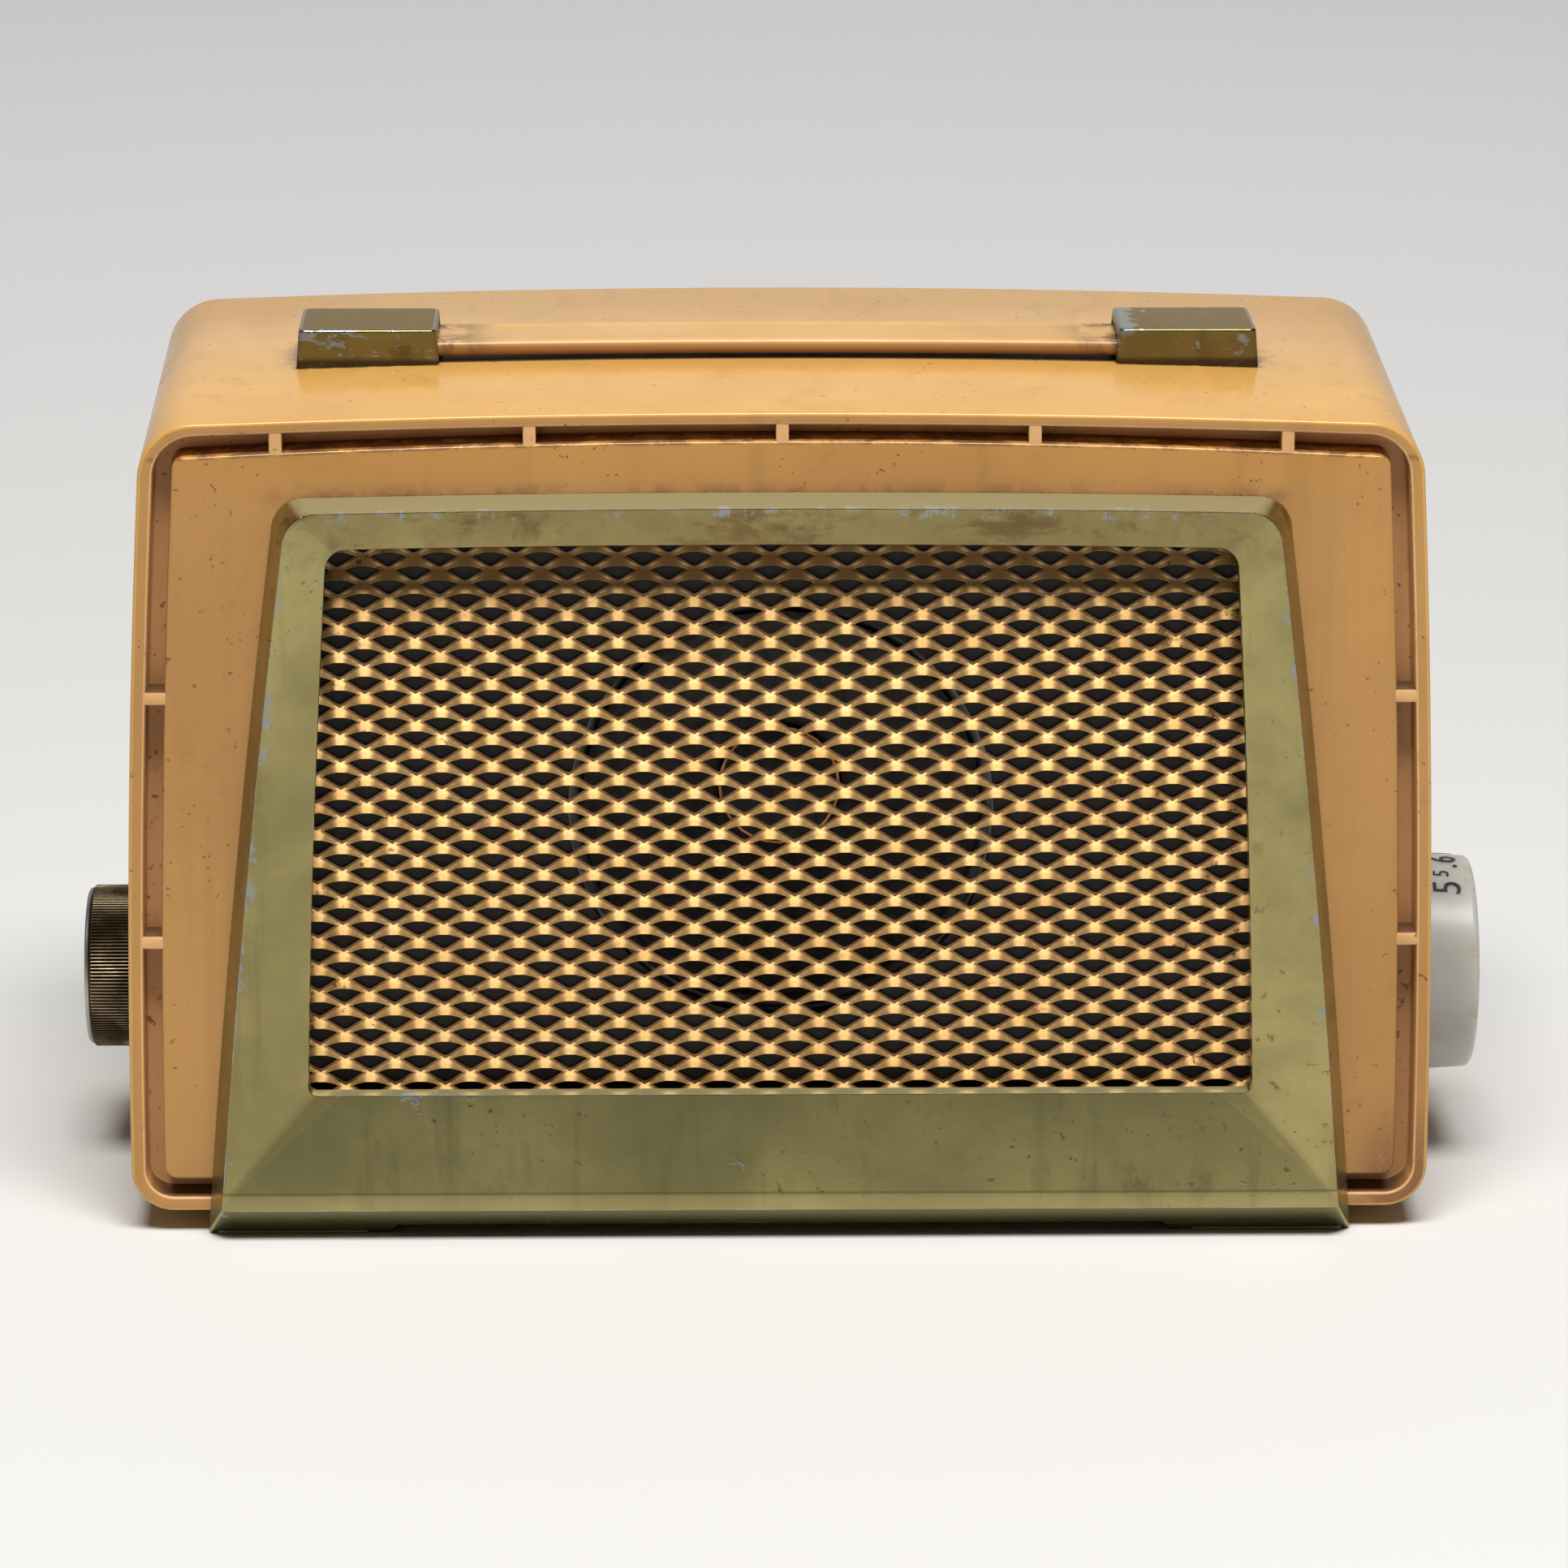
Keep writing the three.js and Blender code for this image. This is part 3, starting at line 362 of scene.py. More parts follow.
def front_dirt(paint):
    """Dirt of the front faces: on the panel's top edge, above the bezel, in one low corner; and a crack."""
    across, height = paint.across(), paint.axis("Z")
    square = paint.times(across, across)
    noise = paint.noise(130, 6, 0.72, 0.4, shift=(6, 2, 2))
    edge = paint.plus(height, paint.times(square, 1000 / PANEL.top_bow))
    line = (CABINET.top - PANEL.top) * MM
    on_line = paint.window(edge, line - 0.0011, line - 0.0002, line, line + 0.001)
    paint.over((0.12, 0.045, 0.015), *on_line, paint.span(noise, 0.42, 0.56), 0.8)
    crown = paint.plus(height, paint.times(square, 1000 / BEZEL.top_bow))
    halo = [paint.span(crown, 0.1655, 0.1622), paint.span(crown, 0.158, 0.1622)]
    halo.append(paint.span(square, 0.112**2, 0.1**2))
    paint.over((0.21, 0.085, 0.025), *halo, paint.span(noise, 0.4, 0.62), 0.55)
    corner = [paint.span(height, 0.034, 0.012), paint.span(across, 0.119, 0.13)]
    paint.over((0.19, 0.075, 0.022), *corner, paint.span(noise, 0.26, 0.52), 0.8)
    slanted = paint.plus(height, paint.times(across, 0.6))
    slanted = paint.plus(slanted, paint.times(paint.noise(500, 3), 0.0024))
    crack = paint.span(paint.size(paint.less(slanted, 0.139)), 0.0004, 0.00015)
    paint.over((0.09, 0.03, 0.01), crack, paint.math("GREATER_THAN", across, 0.1312), 0.85)


PAINTED_LIT_TOP = (0.28, 0.255, 0.13)
BARE_METAL = (0.29, 0.32, 0.33)


def lacquer(name, low, high, wear, metal=0.9, smooth=0.27, top=PAINTED_LIT_TOP, top_metal=0.2, marks=None):
    """Aged gold lacquer on a grey casting: softly brushed, brown specks, bare metal where worn; painted
    light on faces that look up and painted shade on faces that look down.

    low and high are its tones, top the tone of the painted light on faces that look up; marks(paint) adds
    wear of its own.
    """
    paint = Paint(name)
    cloud = paint.noise(26, 5, 0.6, 0.3)
    paint.start(cloud, 0.32, 0.68, low, high)
    paint.over(darker(low, 0.55), paint.patches(0.5, 0.72, 150, 5, 0.6, stretch=(1, 1, 0.07)), 0.45)
    stain = paint.patches(0.5, 0.66, 85, 6, 0.7, 0.4, stretch=(0.6, 1, 1), shift=(2, 0, 5))
    paint.over((0.12, 0.07, 0.025), stain, paint.span(paint.axis("Z"), 0.146, 0.156), 0.75)
    faded = paint.patches(0.6, 0.75, 48, 5, 0.7, shift=(7, 0, 1))
    paint.over((0.16, 0.105, 0.04), faded, 0.6)
    specks = paint.patches(0.64, 0.7, 420, 3, 0.6, shift=(5, 0, 1))
    paint.over((0.09, 0.045, 0.018), specks, paint.span(cloud, 0.42, 0.6), 0.65)
    # Painted light: faces that look up take the top tone and less metal.
    bright = paint.span(paint.normal_axis("Z"), 0.72, 0.92)
    paint.over(top, bright, paint.span(faded, 0, 1, 1, 0.4))
    # Painted shade: faces that look down go nearly black.
    paint.over((0.03, 0.032, 0.018), paint.span(paint.normal_axis("Z"), -0.48, -0.64), 0.93)
    bare = paint.patches(0.66 - wear, 0.69 - wear, 62, 5, 0.7, 0.5, shift=(4, 4, 9))
    paint.over((0.33, 0.37, 0.39), bare, 0.85)
    if marks:
        marks(paint)
    relief = paint.bump(bare, 0.35, 0.0001, paint.bump(paint.noise(700, 4), 0.06, 0.0003))
    metallic = paint.span(bright, 0, 1, metal, top_metal)
    return paint.done(paint.span(cloud, 0.3, 0.75, smooth + 0.07, smooth), relief, Metallic=metallic)


def bezel_wear(paint):
    """A darker top bar, painted shade on the lower slope, a painted reflection on the foot strip under a
    dark line, and chipped outer edges.
    """
    across, height = paint.size(paint.across()), paint.axis("Z")
    bend = paint.times(height, height, 1000 * BEZEL.bend)
    slope = paint.plus(paint.times(height, BEZEL.lean), bend)
    from_side = paint.less(paint.less(0.1187, slope), across)
    crown = paint.less(0.1601, paint.times(across, across, 1000 / BEZEL.top_bow))
    from_top = paint.less(crown, height)
    bar = paint.span(paint.less(paint.times(from_side, 0.82), from_top), -0.0006, 0.0006)
    paint.over((0.2, 0.13, 0.055), bar, paint.span(height, 0.145, 0.149), 0.3)
    # Painted shade on the lower slope facet.
    reach = paint.plus(across, paint.times(height, 1.11))
    lower = paint.span(height, 0.0322, 0.0314)
    paint.over((0.11, 0.13, 0.06), paint.span(reach, 0.1286, 0.128), lower, 0.22)
    # Painted reflection: the foot strip lightened.
    paint.over((0.46, 0.39, 0.17), paint.span(height, 0.0111, 0.0106), 0.35)
    line = paint.span(paint.size(paint.less(height, 0.0109)), 0.0004, 0.00015)
    paint.over((0.09, 0.075, 0.035), line, 0.45)
    near_side, near_top = paint.span(from_side, 0.0018, 0.0006), paint.span(from_top, 0.0026, 0.0008)
    near = [paint.math("MAXIMUM", near_side, near_top)]
    near += [paint.span(from_side, -0.0022, -0.0012), paint.span(from_top, -0.0008, -0.0003)]
    chips = paint.patches(0.55, 0.6, 330, 5, 0.7, 0.4, stretch=(1, 1, 0.6), shift=(1, 1, 3))
    clusters = paint.patches(0.44, 0.54, 24, 3, 0.6, shift=(8, 3, 5))
    paint.over(BARE_METAL, *near, chips, clusters, 0.9)


def cap_wear(paint):
    """Chips under the caps' roof edges, one bare corner on the right cap, and dirt round their feet."""
    chips = paint.patches(0.56, 0.6, 200, 5, 0.7, 0.5, stretch=(0.6, 1, 1.4), shift=(5, 2, 8))
    paint.over(BARE_METAL, chips, paint.span(paint.normal_axis("Z"), 0.75, 0.4), 0.8)
    across = paint.across()
    ragged = paint.plus(across, paint.times(paint.noise(260, 5, 0.7, shift=(7, 7, 2)), 0.01))
    corner = [paint.span(ragged, 0.0815, 0.0805), paint.span(across, 0.06, 0.07)]
    paint.over(BARE_METAL, *corner, paint.between("Z", 184, 185.5), 0.7)
    paint.over((0.03, 0.018, 0.008), paint.between("Z", 180.4, 178.9), 0.85)


def gold_mesh(name, shade=1.0):
    """Satin gold with rust specks; a low shade gives the painted shadow on the upper edge of each strand.
    """
    paint = Paint(name, Metallic=0.8 * shade)
    mottle = paint.noise(90, 4, 0.6)
    paint.start(mottle, 0.35, 0.7, (0.78, 0.49, 0.19), (0.6, 0.35, 0.12))
    rust = paint.patches(0.61, 0.68, 260, 4, 0.7, shift=(2, 5, 8))
    near_sides = paint.span(paint.size(paint.across()), 0.04, 0.095, 0.35, 1)
    paint.over((0.16, 0.06, 0.02), rust, near_sides, 0.85)
    # Painted shadow: a low shade carries the whole finish towards dark brown.
    paint.over((0.12, 0.045, 0.012), 1 - shade)
    relief = paint.bump(paint.noise(900, 3), 0.12, 0.0002)
    return paint.done(paint.span(mottle, 0.3, 0.7, 0.4, 0.5), relief)


def plain_material(name, light, dark, rough, scale=120, bump=0.15, **constants):
    """A mottled finish between two tones, for the pieces inside and the small hardware."""
    paint = Paint(name, **constants)
    mottle = paint.noise(scale, 4, 0.6)
    paint.start(mottle, 0.35, 0.68, light, dark)
    relief = paint.bump(paint.noise(scale * 6, 3), bump, 0.0003)
    return paint.done(paint.span(mottle, 0.3, 0.7, rough, rough + 0.14), relief)


def knob_brass():
    """Dark brass: grime and painted shade in the rib valleys, crests bright from wear and painted
    highlight, and a bright outer ring.
    """
    paint = Paint("knob_brass", Metallic=0.92)
    mottle = paint.noise(140, 5, 0.65)
    ring = paint.between("X", 1.0 - KNOB.face, 0.8 - KNOB.face)
    crest = paint.span(paint.radius(*AXIS), (KNOB.radius - 0.32) * MM, (KNOB.radius - 0.05) * MM)
    crest = paint.math("MAXIMUM", crest, ring)
    paint.start(mottle, 0.35, 0.7, (0.145, 0.108, 0.065), (0.078, 0.058, 0.035))
    paint.over((0.36, 0.35, 0.32), ring)
    # Grime and painted shade in the valleys between the ribs.
    paint.tone = paint.mix(crest, (0.035, 0.025, 0.016), paint.tone)
    # Wear and a painted highlight on the crests.
    paint.over((0.55, 0.43, 0.27), crest, paint.patches(0.45, 0.65, 60, 4, 0.7, shift=(3, 3, 3)), 0.5)
    relief = paint.bump(paint.noise(800, 3), 0.15, 0.0002)
    return paint.done(paint.span(mottle, 0.3, 0.7, 0.42, 0.32), relief)


def dial_plastic():
    """Milky plastic that lets light in, with brown stains on the edge of its face."""
    paint = Paint("dial_plastic", Subsurface_Weight=0.8, Subsurface_Scale=0.012, IOR=1.49)
    paint.set(Subsurface_Radius=(1, 0.9, 0.7))
    cloud = paint.noise(45, 4)
    paint.start(cloud, 0.35, 0.7, (0.48, 0.485, 0.46), (0.44, 0.44, 0.4))
    stain = paint.patches(0.56, 0.66, 120, 4, 0.65, shift=(2, 2, 2))
    paint.over((0.36, 0.27, 0.16), stain, paint.between("X", 149.5, 153), 0.6)
    return paint.done(paint.span(cloud, 0.3, 0.7, 0.24, 0.4), paint.bump(cloud, 0.03, 0.0003))


def strap_plastic():
    """Tan plastic: streaked along the strap, browner below as painted shade, dirty where it enters the
    caps.
    """
    paint = Paint("strap_plastic", IOR=1.5)
    cloud = paint.noise(30, 4, 0.6)
    fine = paint.noise(240, 4, 0.6, stretch=(0.25, 1, 1))
    paint.start(cloud, 0.3, 0.7, (0.7, 0.42, 0.15), (0.62, 0.36, 0.12))
    paint.over((0.45, 0.26, 0.1), paint.span(fine, 0.52, 0.75), 0.3)
    # Painted shade: browner towards the bottom.
    paint.over((0.26, 0.115, 0.036), paint.between("Z", 183.7, 180.9), 0.9)
    ends = paint.span(paint.size(paint.across()), 0.058, 0.0735)
    paint.over((0.09, 0.04, 0.016), ends, paint.patches(0.4, 0.6, 150, 5, 0.7, 0.5), 0.9)
    return paint.done(paint.span(cloud, 0.3, 0.7, 0.3, 0.42), paint.bump(fine, 0.08, 0.0004))


# --------------------
# Mesh tools
# --------------------
def new_piece(name, points, faces, materials, bands=None):
    """A mesh object from points in millimetres; bands gives each face's material."""
    mesh = bpy.data.meshes.new(name)
    mesh.from_pydata([place(*p) for p in points], [], faces)
    for material in materials:
        mesh.materials.append(material)
    if bands:
        mesh.polygons.foreach_set("material_index", bands)
    face_out(mesh)
    return link(name, mesh)


def smooth(mesh, sharp=32):
    """Shades the mesh smooth, but keeps edges over the sharp angle, in degrees, crisp."""
    mesh.shade_smooth()
    mesh.set_sharp_from_angle(angle=math.radians(sharp))


def face_out(mesh):
    work = bmesh.new()
    work.from_mesh(mesh)
    bmesh.ops.recalc_face_normals(work, faces=work.faces)
    work.to_mesh(mesh)
    work.free()
    smooth(mesh)


def settle(piece, sharp=32):
    """Applies the piece's modifiers to its mesh."""
    graph = bpy.context.evaluated_depsgraph_get()
    made = bpy.data.meshes.new_from_object(piece.evaluated_get(graph))
    old = piece.data
    name = old.name
    piece.modifiers.clear()
    piece.data = made
    bpy.data.meshes.remove(old)
    made.name = name
    smooth(made, sharp)


def combine(piece, tools, operation):
    """An exact boolean of piece with each tool in turn; the tools are used up."""
    for tool in tools:
        change = piece.modifiers.new("boolean", "BOOLEAN")
        change.operation = operation
        change.solver = "EXACT"
        change.object = tool
        settle(piece)
        bpy.data.objects.remove(tool)


def round_edges(piece, width, segments=2, angle=28, material=-1):
    """Rounds the sharp edges; material picks the slot that the rounded strips take."""
    change = piece.modifiers.new("round", "BEVEL")
    change.material = material
    change.width = width * MM
    change.segments = segments
    change.limit_method = "ANGLE"
    change.angle_limit = math.radians(angle)
    change.harden_normals = False
    settle(piece, 40)


def join(name, pieces):
    """Several meshes made into one piece."""
    work = bmesh.new()
    materials = []
    for piece in pieces:
        first = len(work.faces)
        work.from_mesh(piece.data)
        work.faces.ensure_lookup_table()
        for slot in piece.data.materials:
            if slot not in materials:
                materials.append(slot)
        for face in list(work.faces)[first:]:
            slots = piece.data.materials
            if len(slots):
                face.material_index = materials.index(slots[face.material_index])
        bpy.data.objects.remove(piece)
    mesh = bpy.data.meshes.new(name)
    work.to_mesh(mesh)
    work.free()
    for material in materials:
        mesh.materials.append(material)
    smooth(mesh)
    return link(name, mesh)


def skin(loops, closed):
    """Quads between loops of equal length; closed joins the last to the first, else both ends get caps."""
    count = len(loops[0])
    points = [point for loop in loops for point in loop]
    bands = len(loops) if closed else len(loops) - 1
    faces = []
    for k in range(bands):
        a, b = k * count, (k + 1) % len(loops) * count
        faces += [(a + i, b + i, b + (i + 1) % count, a + (i + 1) % count) for i in range(count)]
    if not closed:
        faces.append(tuple(range(count)))
        faces.append(tuple(range(len(points) - count, len(points))))
    return points, faces


def prism(loop, front, back):
    """A solid from a loop of (x, z), from one depth to another; for cutting or joining."""
    return new_piece("prism", *skin([at(loop, front), at(loop, back)], False), [])


def block(x0, x1, y0, y1, z0, z1):
    return prism([(x0, z0), (x1, z0), (x1, z1), (x0, z1)], y0, y1)


def turned(name, axis, profile, centre, segments, materials, closed=False, wave=None):
    """A turned piece: profile holds (radius, distance along the axis), centre the other two coordinates.

    wave(radius, distance, angle) may change the radius. A closed profile makes a ring; an open one starts
    and ends on the axis.
    """
    points, rows = [], []
    for radius, along in profile:
        ring = []
        steps = 1 if radius < 1e-6 else segments
        for i in range(steps):
            angle = 2 * math.pi * i / segments
            r = wave(radius, along, angle) if wave and steps > 1 else radius
            u, v = centre[0] + r * math.cos(angle), centre[1] + r * math.sin(angle)
            ring.append(len(points))
            points.append({"x": (along, u, v), "y": (u, along, v), "z": (u, v, along)}[axis])
        rows.append(ring)
    pairs = list(zip(rows, rows[1:] + rows[:1])) if closed else list(zip(rows, rows[1:]))
    faces = []
    for a, b in pairs:
        for i in range(segments):
            j = (i + 1) % segments
            if len(a) == 1:
                faces.append((a[0], b[i], b[j]))
            elif len(b) == 1:
                faces.append((a[i], b[0], a[j]))
            else:
                faces.append((a[i], b[i], b[j], a[j]))
    return new_piece(name, points, faces, materials)


def rod(axis, radius, start, end, centre, segments, material=None):
    profile = [(0, start), (radius, start), (radius, end), (0, end)]
    return turned("rod", axis, profile, centre, segments, [material] if material else [])


def outline(half, top, bottom, top_corner, bottom_corner):
    """A closed loop of (x, z), anticlockwise seen from the front: bowed sides and top, round corners."""
    low_z = bottom + bottom_corner
    low_x = half(low_z) - bottom_corner
    high_z = top(half(top(0)) - top_corner) - top_corner
    high_x = half(high_z) - top_corner
    right = []
    for angle in arc(CORNER_STEPS):
        right.append((low_x + bottom_corner * math.sin(angle), low_z - bottom_corner * math.cos(angle)))
    for i in range(1, SIDE_STEPS):
        z = low_z + (high_z - low_z) * i / SIDE_STEPS
        right.append((half(z), z))
    for angle in arc(CORNER_STEPS):
        right.append((high_x + top_corner * math.cos(angle), high_z + top_corner * math.sin(angle)))
    for i in range(1, TOP_STEPS // 2):
        x = high_x * (1 - 2 * i / TOP_STEPS)
        right.append((x, top(x)))
    under = [(low_x * i / 12, bottom) for i in range(1, 12)]
    left = [(-x, z) for x, z in reversed(right)]
    return [(0, bottom)] + under + right + [(0, top(0))] + left + [(-x, z) for x, z in reversed(under)]


def cabinet_outline(y, side=0, top=0, bottom=0, top_corner=None, bottom_corner=None, top_bow=None, inset=0):
    """The cabinet's section at depth y, drawn in by side, top and bottom, and by inset all round."""
    share = y / CABINET.depth
    bow = top_bow or CABINET.top_bow

    def half(z):
        bulge = (z - CABINET.widest) ** 2 / CABINET.side_bow
        return CABINET.half - bulge + CABINET.side_draft * share - side - inset

    def height(x):
        return CABINET.top - x**2 / bow + CABINET.top_draft * share - top - inset

    high = (CABINET.top_corner if top_corner is None else top_corner) - inset
    low = (CABINET.bottom_corner if bottom_corner is None else bottom_corner) - inset
    return outline(half, height, CABINET.bottom + bottom + inset, high, low)


def opening_outline(margin):
    def half(z):
        rise = z - OPENING.bottom
        return OPENING.half - OPENING.lean * rise - OPENING.bend * rise**2 + margin

    return outline(
        half,
        lambda x: OPENING.top - x**2 / OPENING.top_bow + margin,
        OPENING.bottom - margin,
        OPENING.top_corner + min(margin, 3),
        OPENING.bottom_corner + min(margin, 3),
    )


def bezel_outline(width, top, bottom, corner=7.0, low_corner=0.6):
    return outline(
        lambda z: width - BEZEL.lean * z - BEZEL.bend * z**2,
        lambda x: top - x**2 / BEZEL.top_bow,
        bottom,
        corner,
        low_corner,
    )


def at(loop, y):
    return [(x, y, z) for x, z in loop]


def arc(steps):
    """Angles of a quarter round, in radians."""
    return [math.pi / 2 * i / steps for i in range(steps + 1)]


def quarter(radius, steps):
    """Points round a quarter of a circle, as (falls from radius to 0, grows from 0 to radius)."""
    return [(radius * (1 - math.sin(turn)), radius * (1 - math.cos(turn))) for turn in arc(steps)]


# --------------------
# Cabinet
# --------------------
def make_shell(outside, in_groove, panel):
    """One moulding: outer skin, rim, groove, raised panel with its opening, and the hollow behind."""
    loops, bands = [], []
    zone = {"outside": 0, "groove": 1, "panel": 2}

    def add(loop, y, name):
        loops.append(at(loop, y))
        bands.append(zone[name])

    depth, wall = CABINET.depth, CABINET.wall
    cavity = GROOVE_DEPTH + GROOVE_FLOOR
    for inset, y in quarter(REAR_ROUND, 3):
        add(cabinet_outline(depth, inset=inset), depth - y, "outside")
    for y, inset in quarter(EDGE_ROUND, 5):
        add(cabinet_outline(y, inset=inset), y, "outside")
    groove, raised = vars(GROOVE), vars(PANEL)
    for out, y in quarter(LIP_ROUND, 3):
        add(cabinet_outline(0, **groove, inset=-out), y, "groove" if y else "panel")
    for up, inset in quarter(FLOOR_FILLET, 3):
        add(cabinet_outline(0, **groove, inset=inset), GROOVE_DEPTH - up, "groove")
    add(cabinet_outline(0, **raised, inset=-0.5), GROOVE_DEPTH, "groove")
    add(cabinet_outline(0, **raised), GROOVE_DEPTH - 0.5, "groove")
    for y, inset in quarter(EDGE_ROUND, 5):
        add(cabinet_outline(0, **raised, inset=inset), y, "panel")
    add(opening_outline(4.8), 0, "panel")
    add(opening_outline(4.5), 0.3, "panel")
    add(opening_outline(4.5), PANEL_THICK, "panel")
    behind = {**raised, "top_corner": 0.8, "bottom_corner": 0.8}
    for key in ("side", "top", "bottom"):
        behind[key] += wall
    add(cabinet_outline(0, **behind), PANEL_THICK, "panel")
    add(cabinet_outline(0, **behind), cavity, "outside")
    add(cabinet_outline(cavity, inset=wall), cavity, "outside")
    add(cabinet_outline(depth, inset=wall), depth, "outside")
    points, faces = skin(loops, True)
    count = len(loops[0])
    indices = [bands[(k + 1) % len(bands)] for k in range(len(loops)) for _ in range(count)]
    shell = new_piece("shell_moulding", points, faces, [outside, in_groove, panel], indices)
    combine(shell, shell_ribs(in_groove), "UNION")
    combine(shell, shell_bosses(), "UNION")
    combine(shell, shell_holes(), "DIFFERENCE")
    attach(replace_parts(shell, "cabinet_shell"), "cabinet")


def shell_ribs(groove_floor):
    half = RIB_WIDTH / 2
    ends = (0.15, GROOVE_DEPTH + 0.5)
    blocks = [block(x - half, x + half, *ends, low, high) for x, low, high in TOP_RIBS]
    for z in SIDE_RIBS:
        reach = CABINET.half - (z - CABINET.widest) ** 2 / CABINET.side_bow
        for side in (1, -1):
            sides = sorted((side * (reach - 9), side * (reach - 1.2)))
            blocks.append(block(*sides, *ends, z - half, z + half))
    for rib in blocks:
        rib.data.materials.append(groove_floor)
        round_edges(rib, 0.35)
    return blocks


def shell_bosses():
    made = []
    back = BACK.front - 0.3
    for x, z in BACK_SCREWS:
        made.append(rod("y", 4.2, 96, back, (x, z), 32))
        wall_x = math.copysign(CABINET.half - (z - CABINET.widest) ** 2 / CABINET.side_bow, x)
        made.append(block(*sorted((x, wall_x)), 96.2, back - 0.2, z - 1.5, z + 1.5))
    return made


def shell_holes():
    made = [rod("y", 1.7, 99, 119, (x, z), 24) for x, z in BACK_SCREWS]
    for side in (1, -1):
        made.append(rod("x", 4.8, *sorted((side * 130, side * 143)), AXIS, 40))
        made.append(rod("z", 1.7, 170, 185, (side * SCREW.x, SCREW.y), 24))
        made.append(rod("z", 2, 3.5, 9, (side * CHASSIS_SCREW.x, CHASSIS_SCREW.y), 24))
    made += [rod("y", 2.4, -1, 4, stud, 24) for stud in STUDS]
    return made


def make_bezel(material, edge_material):
    front = BEZEL.front
    loops = [
        at(bezel_outline(BEZEL.front_half, BEZEL.front_top, BEZEL.front_bottom), front),
        at(bezel_outline(BEZEL.half, BEZEL.top, 0), BEZEL.back),
        at(opening_outline(BEZEL.lip), BEZEL.back),
        at(opening_outline(BEZEL.lip), BEZEL.lip_back),
        at(opening_outline(0), BEZEL.lip_back),
        at(opening_outline(0), BEZEL.opening_face),
        at(bezel_outline(BEZEL.strip_half, BEZEL.front_top - 1, BEZEL.strip_top), front + 0.02),
    ]
    bezel = new_piece("bezel_casting", *skin(loops, True), [material, edge_material])
    feet = [block(*sorted((s * 88, s * 120)), -1, 8, 0, 4.6) for s in (1, -1)]
    combine(bezel, feet, "UNION")
    inner, rise = BEZEL.foot_inner, BEZEL.foot_height
    arch = [(-inner, -1), (inner, -1), (inner - rise, rise), (rise - inner, rise)]
    combine(bezel, [prism(arch, -10, 10)], "DIFFERENCE")
    round_edges(bezel, 0.45, material=1)
    studs = [rod("y", 2, -0.5, 11, stud, 24) for stud in STUDS]
    combine(bezel, studs, "UNION")
    flat = bezel.modifiers.new("flat_facets", "WEIGHTED_NORMAL")
    flat.keep_sharp = True
    flat.weight = 80
    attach(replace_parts(bezel, "bezel"), "cabinet")


# --------------------
# Grille: expanded metal, one louvred opening per rhombus of the pattern
# --------------------
def hole_edge(t, upper):
    """Height of the opening's edge at share t of its half-width, above or below its side points."""
    x = HOLE.half * t
    if upper:
        slope = max(0, x - HOLE.flat) / (HOLE.half - HOLE.flat)
        return HOLE.rise * (1 - slope**1.25)
    return -HOLE.drop * (1 - t) if t > 0.12 else -HOLE.drop * (0.86 + 0.06 * (0.12 - t) / 0.12)


def mesh_cell(centre_x, centre_z):
    """Points of one opening: a loop on its edge, one halfway and one on the rhombus that it shares.

    Each strand leans: the arch under it stands forward and the top of it, a V, lies back.
    """
    steps = 7
    half_x, half_z = MESH.pitch_x / 2, MESH.pitch_z / 2
    quarters = [(1, True, range(steps)), (1, False, range(steps, 0, -1))]
    quarters += [(-1, False, range(steps)), (-1, True, range(steps, 0, -1))]
    rings = ([], [], [])
    for side, upper, order in quarters:
        for i in order:
            t = i / steps
            sign = 1 if upper else -1
            share = min(1, (1 - t) / (0.8 if upper else 0.25))
            lean = (-1.05 if upper else 0.22) * share**2 * (3 - 2 * share)
            edge = Vector((side * HOLE.half * t, lean, hole_edge(t, upper)))
            twist = -0.36 * sign * math.sin(2 * math.pi * t)
            rim = Vector((side * half_x * t, twist, sign * half_z * (1 - t)))
            middle = edge.lerp(rim, 0.5 if upper else 0.95 - 0.45 * t)
            for ring, point in zip(rings, (edge, middle, rim)):
                ring.append((centre_x + point.x, MESH.front + point.y, centre_z + point.z))
    return rings


def make_grille(material, edge_material):
    points, faces, shaded = [], [], []
    columns = int(110 / (MESH.pitch_x / 2))
    for column in range(-columns, columns + 1):
        x = MESH.phase_x + column * MESH.pitch_x / 2
        for row in range(23):
            z = MESH.phase_z + MESH.pitch_z * (row - 1 + 0.5 * (column % 2))
            if z > 158:
                continue
            start = len(points)
            rings = mesh_cell(x, z)
            count = len(rings[0])
            for ring in rings:
                points += ring
            for k in range(2):
                for i in range(count):
                    j = (i + 1) % count
                    a, b = start + k * count, start + (k + 1) * count
                    faces.append((a + i, a + j, b + j, b + i))
                    # Faces along each opening's lower edge take the second material, the painted shadow.
                    shaded.append(1 if k == 0 and count / 4 <= i < 3 * count / 4 else 0)
    grille = new_piece("expanded_mesh", points, faces, [material, edge_material], shaded)
    trim_to_opening(grille, 3.4)
    change = grille.modifiers.new("sheet", "SOLIDIFY")
    change.thickness = MESH.thick * MM
    change.offset = 0
    settle(grille, 50)
    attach(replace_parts(grille, "grille_mesh"), "cabinet")


